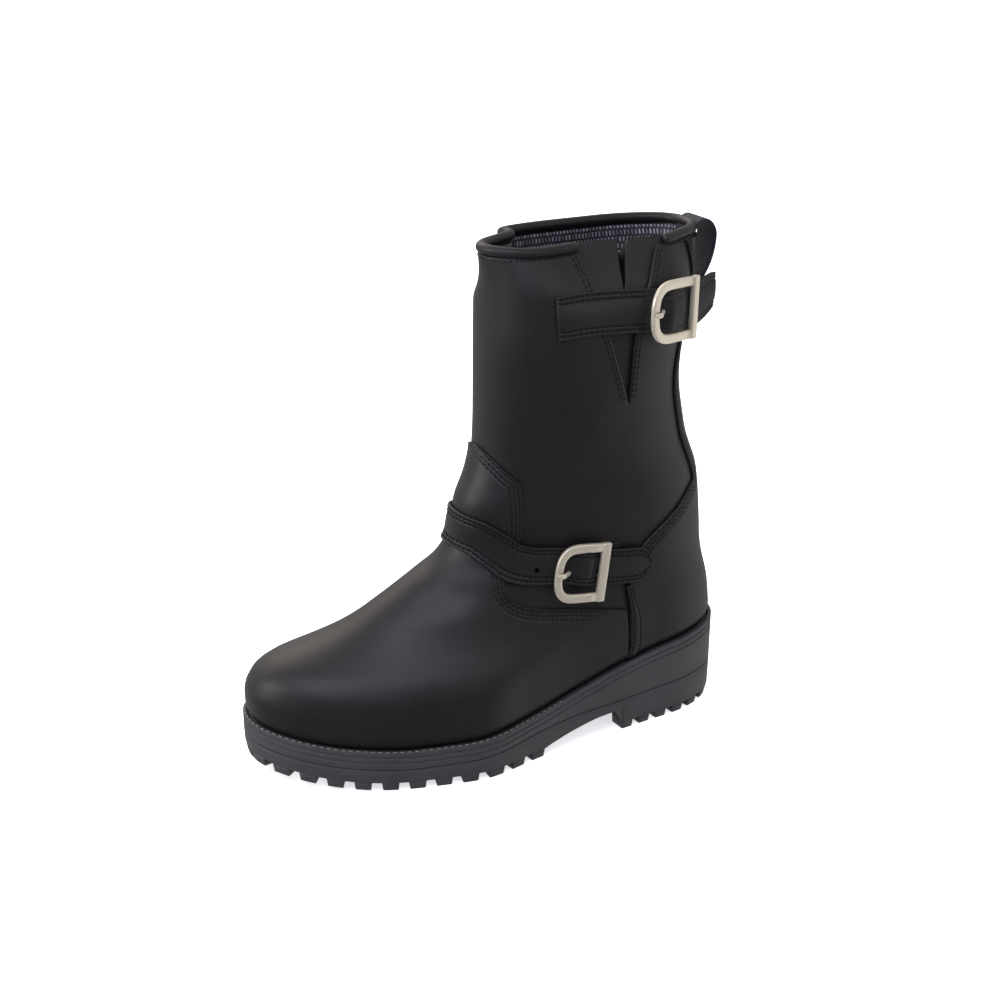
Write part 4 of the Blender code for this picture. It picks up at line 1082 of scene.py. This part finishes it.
# All stitches of one thread as one piece: small balls, each stretched along its seam
def stitchPiece(name, runs, material):
    bm = bmesh.new()
    for run in runs:
        for way, side, up, middle in zip(*run):
            place = placing(way * mm, side * mm, up * mm, toWorld(middle))
            bmesh.ops.create_icosphere(bm, subdivisions=1, radius=0.5, matrix=place)
    addPiece(name, bm, material, autoNormals=False)
    print(name, sum(len(run[0]) for run in runs), "stitches")


stitchPiece("leather_stitches", stitchRuns["black"], thread)
stitchPiece("welt_stitches", stitchRuns["welt"], weltThread)

# Floor, light and camera
studio = {"floor": "#f6f6f6", "glowColour": "#fbfbff", "glow": 0.7, "room": "#fffdfa", "cove": 0.6,
          "dark": 0.05, "coveAway": (0.446, 0.895, 0.0), "coveEnds": (-0.45, 0.55), "heelCard": 0.4,
          "heelCardWay": (-0.814, 0.470, -0.342), "heelCardEnds": (0.80, 0.985), "sweep": 1.0,
          "daylight": 3.0, "daylightSpread": 80.0, "reach": 2.5, "aimUp": 0.15}
bm = bmesh.new()
bmesh.ops.create_grid(bm, x_segments=1, y_segments=1, size=15.0)
mesh = bpy.data.meshes.new("floor")
bm.to_mesh(mesh)
bm.free()
# Opal acrylic light table: white, with its own glow, so that shadows stay faint
table = newMaterial("opal light table", Roughness=0.9, Base_Color=linear(studio["floor"]),
                    Emission_Color=linear(studio["glowColour"]), Emission_Strength=studio["glow"])
mesh.materials.append(table[0])
floor = bpy.data.objects.new("floor", mesh)
bpy.context.scene.collection.objects.link(floor)
floor.visible_glossy = False  # the room, not the table, is what the leather mirrors

# Room: a white cove behind the boot, dark in front of it, a card low at the heel
room = bpy.data.worlds.new("studio")
room.use_nodes = True
tree = room.node_tree
direction = addNode(tree, "TexCoord").outputs["Generated"]


def addSide(way, ends, low, high):  # brightness that changes with the angle to a way
    angle = addNode(tree, "VectorMath", {"operation": "DOT_PRODUCT"}, _0=direction, _1=way)
    return addNode(tree, "MapRange", {"interpolation_type": "SMOOTHSTEP"}, Value=angle.outputs["Value"],
                   From_Min=ends[0], From_Max=ends[1], To_Min=low, To_Max=high).outputs[0]


both = addNode(tree, "Math", {"operation": "ADD"},
               _0=addSide(studio["coveAway"], studio["coveEnds"], studio["cove"], studio["dark"]),
               _1=addSide(studio["heelCardWay"], studio["heelCardEnds"], 0.0, studio["heelCard"]))
inView = addNode(tree, "LightPath").outputs["Is Camera Ray"]  # the sweep looks white all round
shown = addNode(tree, "Mix", {"data_type": "FLOAT"}, _0=inView, _2=both.outputs[0], _3=studio["sweep"])
tree.links.new(shown.outputs[0], tree.nodes["Background"].inputs["Strength"])
tree.nodes["Background"].inputs["Color"].default_value = linear(studio["room"])
bpy.context.scene.world = room


def wayTo(azimuth, elevation):
    turn, lift = np.radians((azimuth, elevation))
    return Vector((np.cos(turn) * np.cos(lift), np.sin(turn) * np.cos(lift), np.sin(lift)))


def addLamp(name, kind, azimuth, elevation, strength, colour, **settings):
    data = bpy.data.lights.new(name, kind)
    data.energy = strength
    data.color = linear(colour)[:3]
    for key, value in settings.items():
        setattr(data, key, value)
    lamp = bpy.data.objects.new(name, data)
    bpy.context.scene.collection.objects.link(lamp)
    way = wayTo(azimuth, elevation)
    lamp.location = way * studio["reach"] + Vector((0, 0, studio["aimUp"]))
    lamp.rotation_euler = way.to_track_quat("Z", "Y").to_euler()
    lamp.visible_camera = False
    return lamp


daylight = addLamp("soft daylight", "SUN", -60, 75, studio["daylight"], "#ffffff",
                   angle=np.radians(studio["daylightSpread"]))
daylight.visible_glossy = False
for place, azimuth, elevation, watts, colour, wide, high in (
    ("over the camera", 50, 48, 27.0, "#e9ebff", 1.4, 0.85),
    ("behind", -84, 38, 23.0, "#fff2e6", 2.0, 1.3),
    ("at the toe", -5, 19, 25.0, "#fffdfa", 0.9, 0.65),
    ("at the heel", 114, 31, 7.0, "#fff4e6", 0.9, 0.9),
):
    addLamp("softbox " + place, "AREA", azimuth, elevation, watts, colour, shape="RECTANGLE", size=wide,
            size_y=high)

# Camera, fitted to the photo; its centre is a picture point in a frame of so many pixels
camera = {"azimuth": 63.5, "elevation": 22.36, "distance": 0.941, "target": (148.9, -9.2, 140.0),
          "focalPixels": 1587.7, "centre": (491.9, 510.3), "frame": 1000.0, "sensor": 36.0}
backWay = wayTo(camera["azimuth"], camera["elevation"])
data = bpy.data.cameras.new("camera")
data.sensor_width = camera["sensor"]
data.lens = camera["focalPixels"] / camera["frame"] * camera["sensor"]
data.shift_x = 0.5 - camera["centre"][0] / camera["frame"]
data.shift_y = camera["centre"][1] / camera["frame"] - 0.5
cameraObject = bpy.data.objects.new("camera", data)
bpy.context.scene.collection.objects.link(cameraObject)
cameraObject.location = Vector(toWorld(camera["target"])) + backWay * camera["distance"]
cameraObject.rotation_euler = backWay.to_track_quat("Z", "Y").to_euler()
bpy.context.scene.camera = cameraObject
bpy.context.scene.view_settings.view_transform = "Standard"

print("scene done")
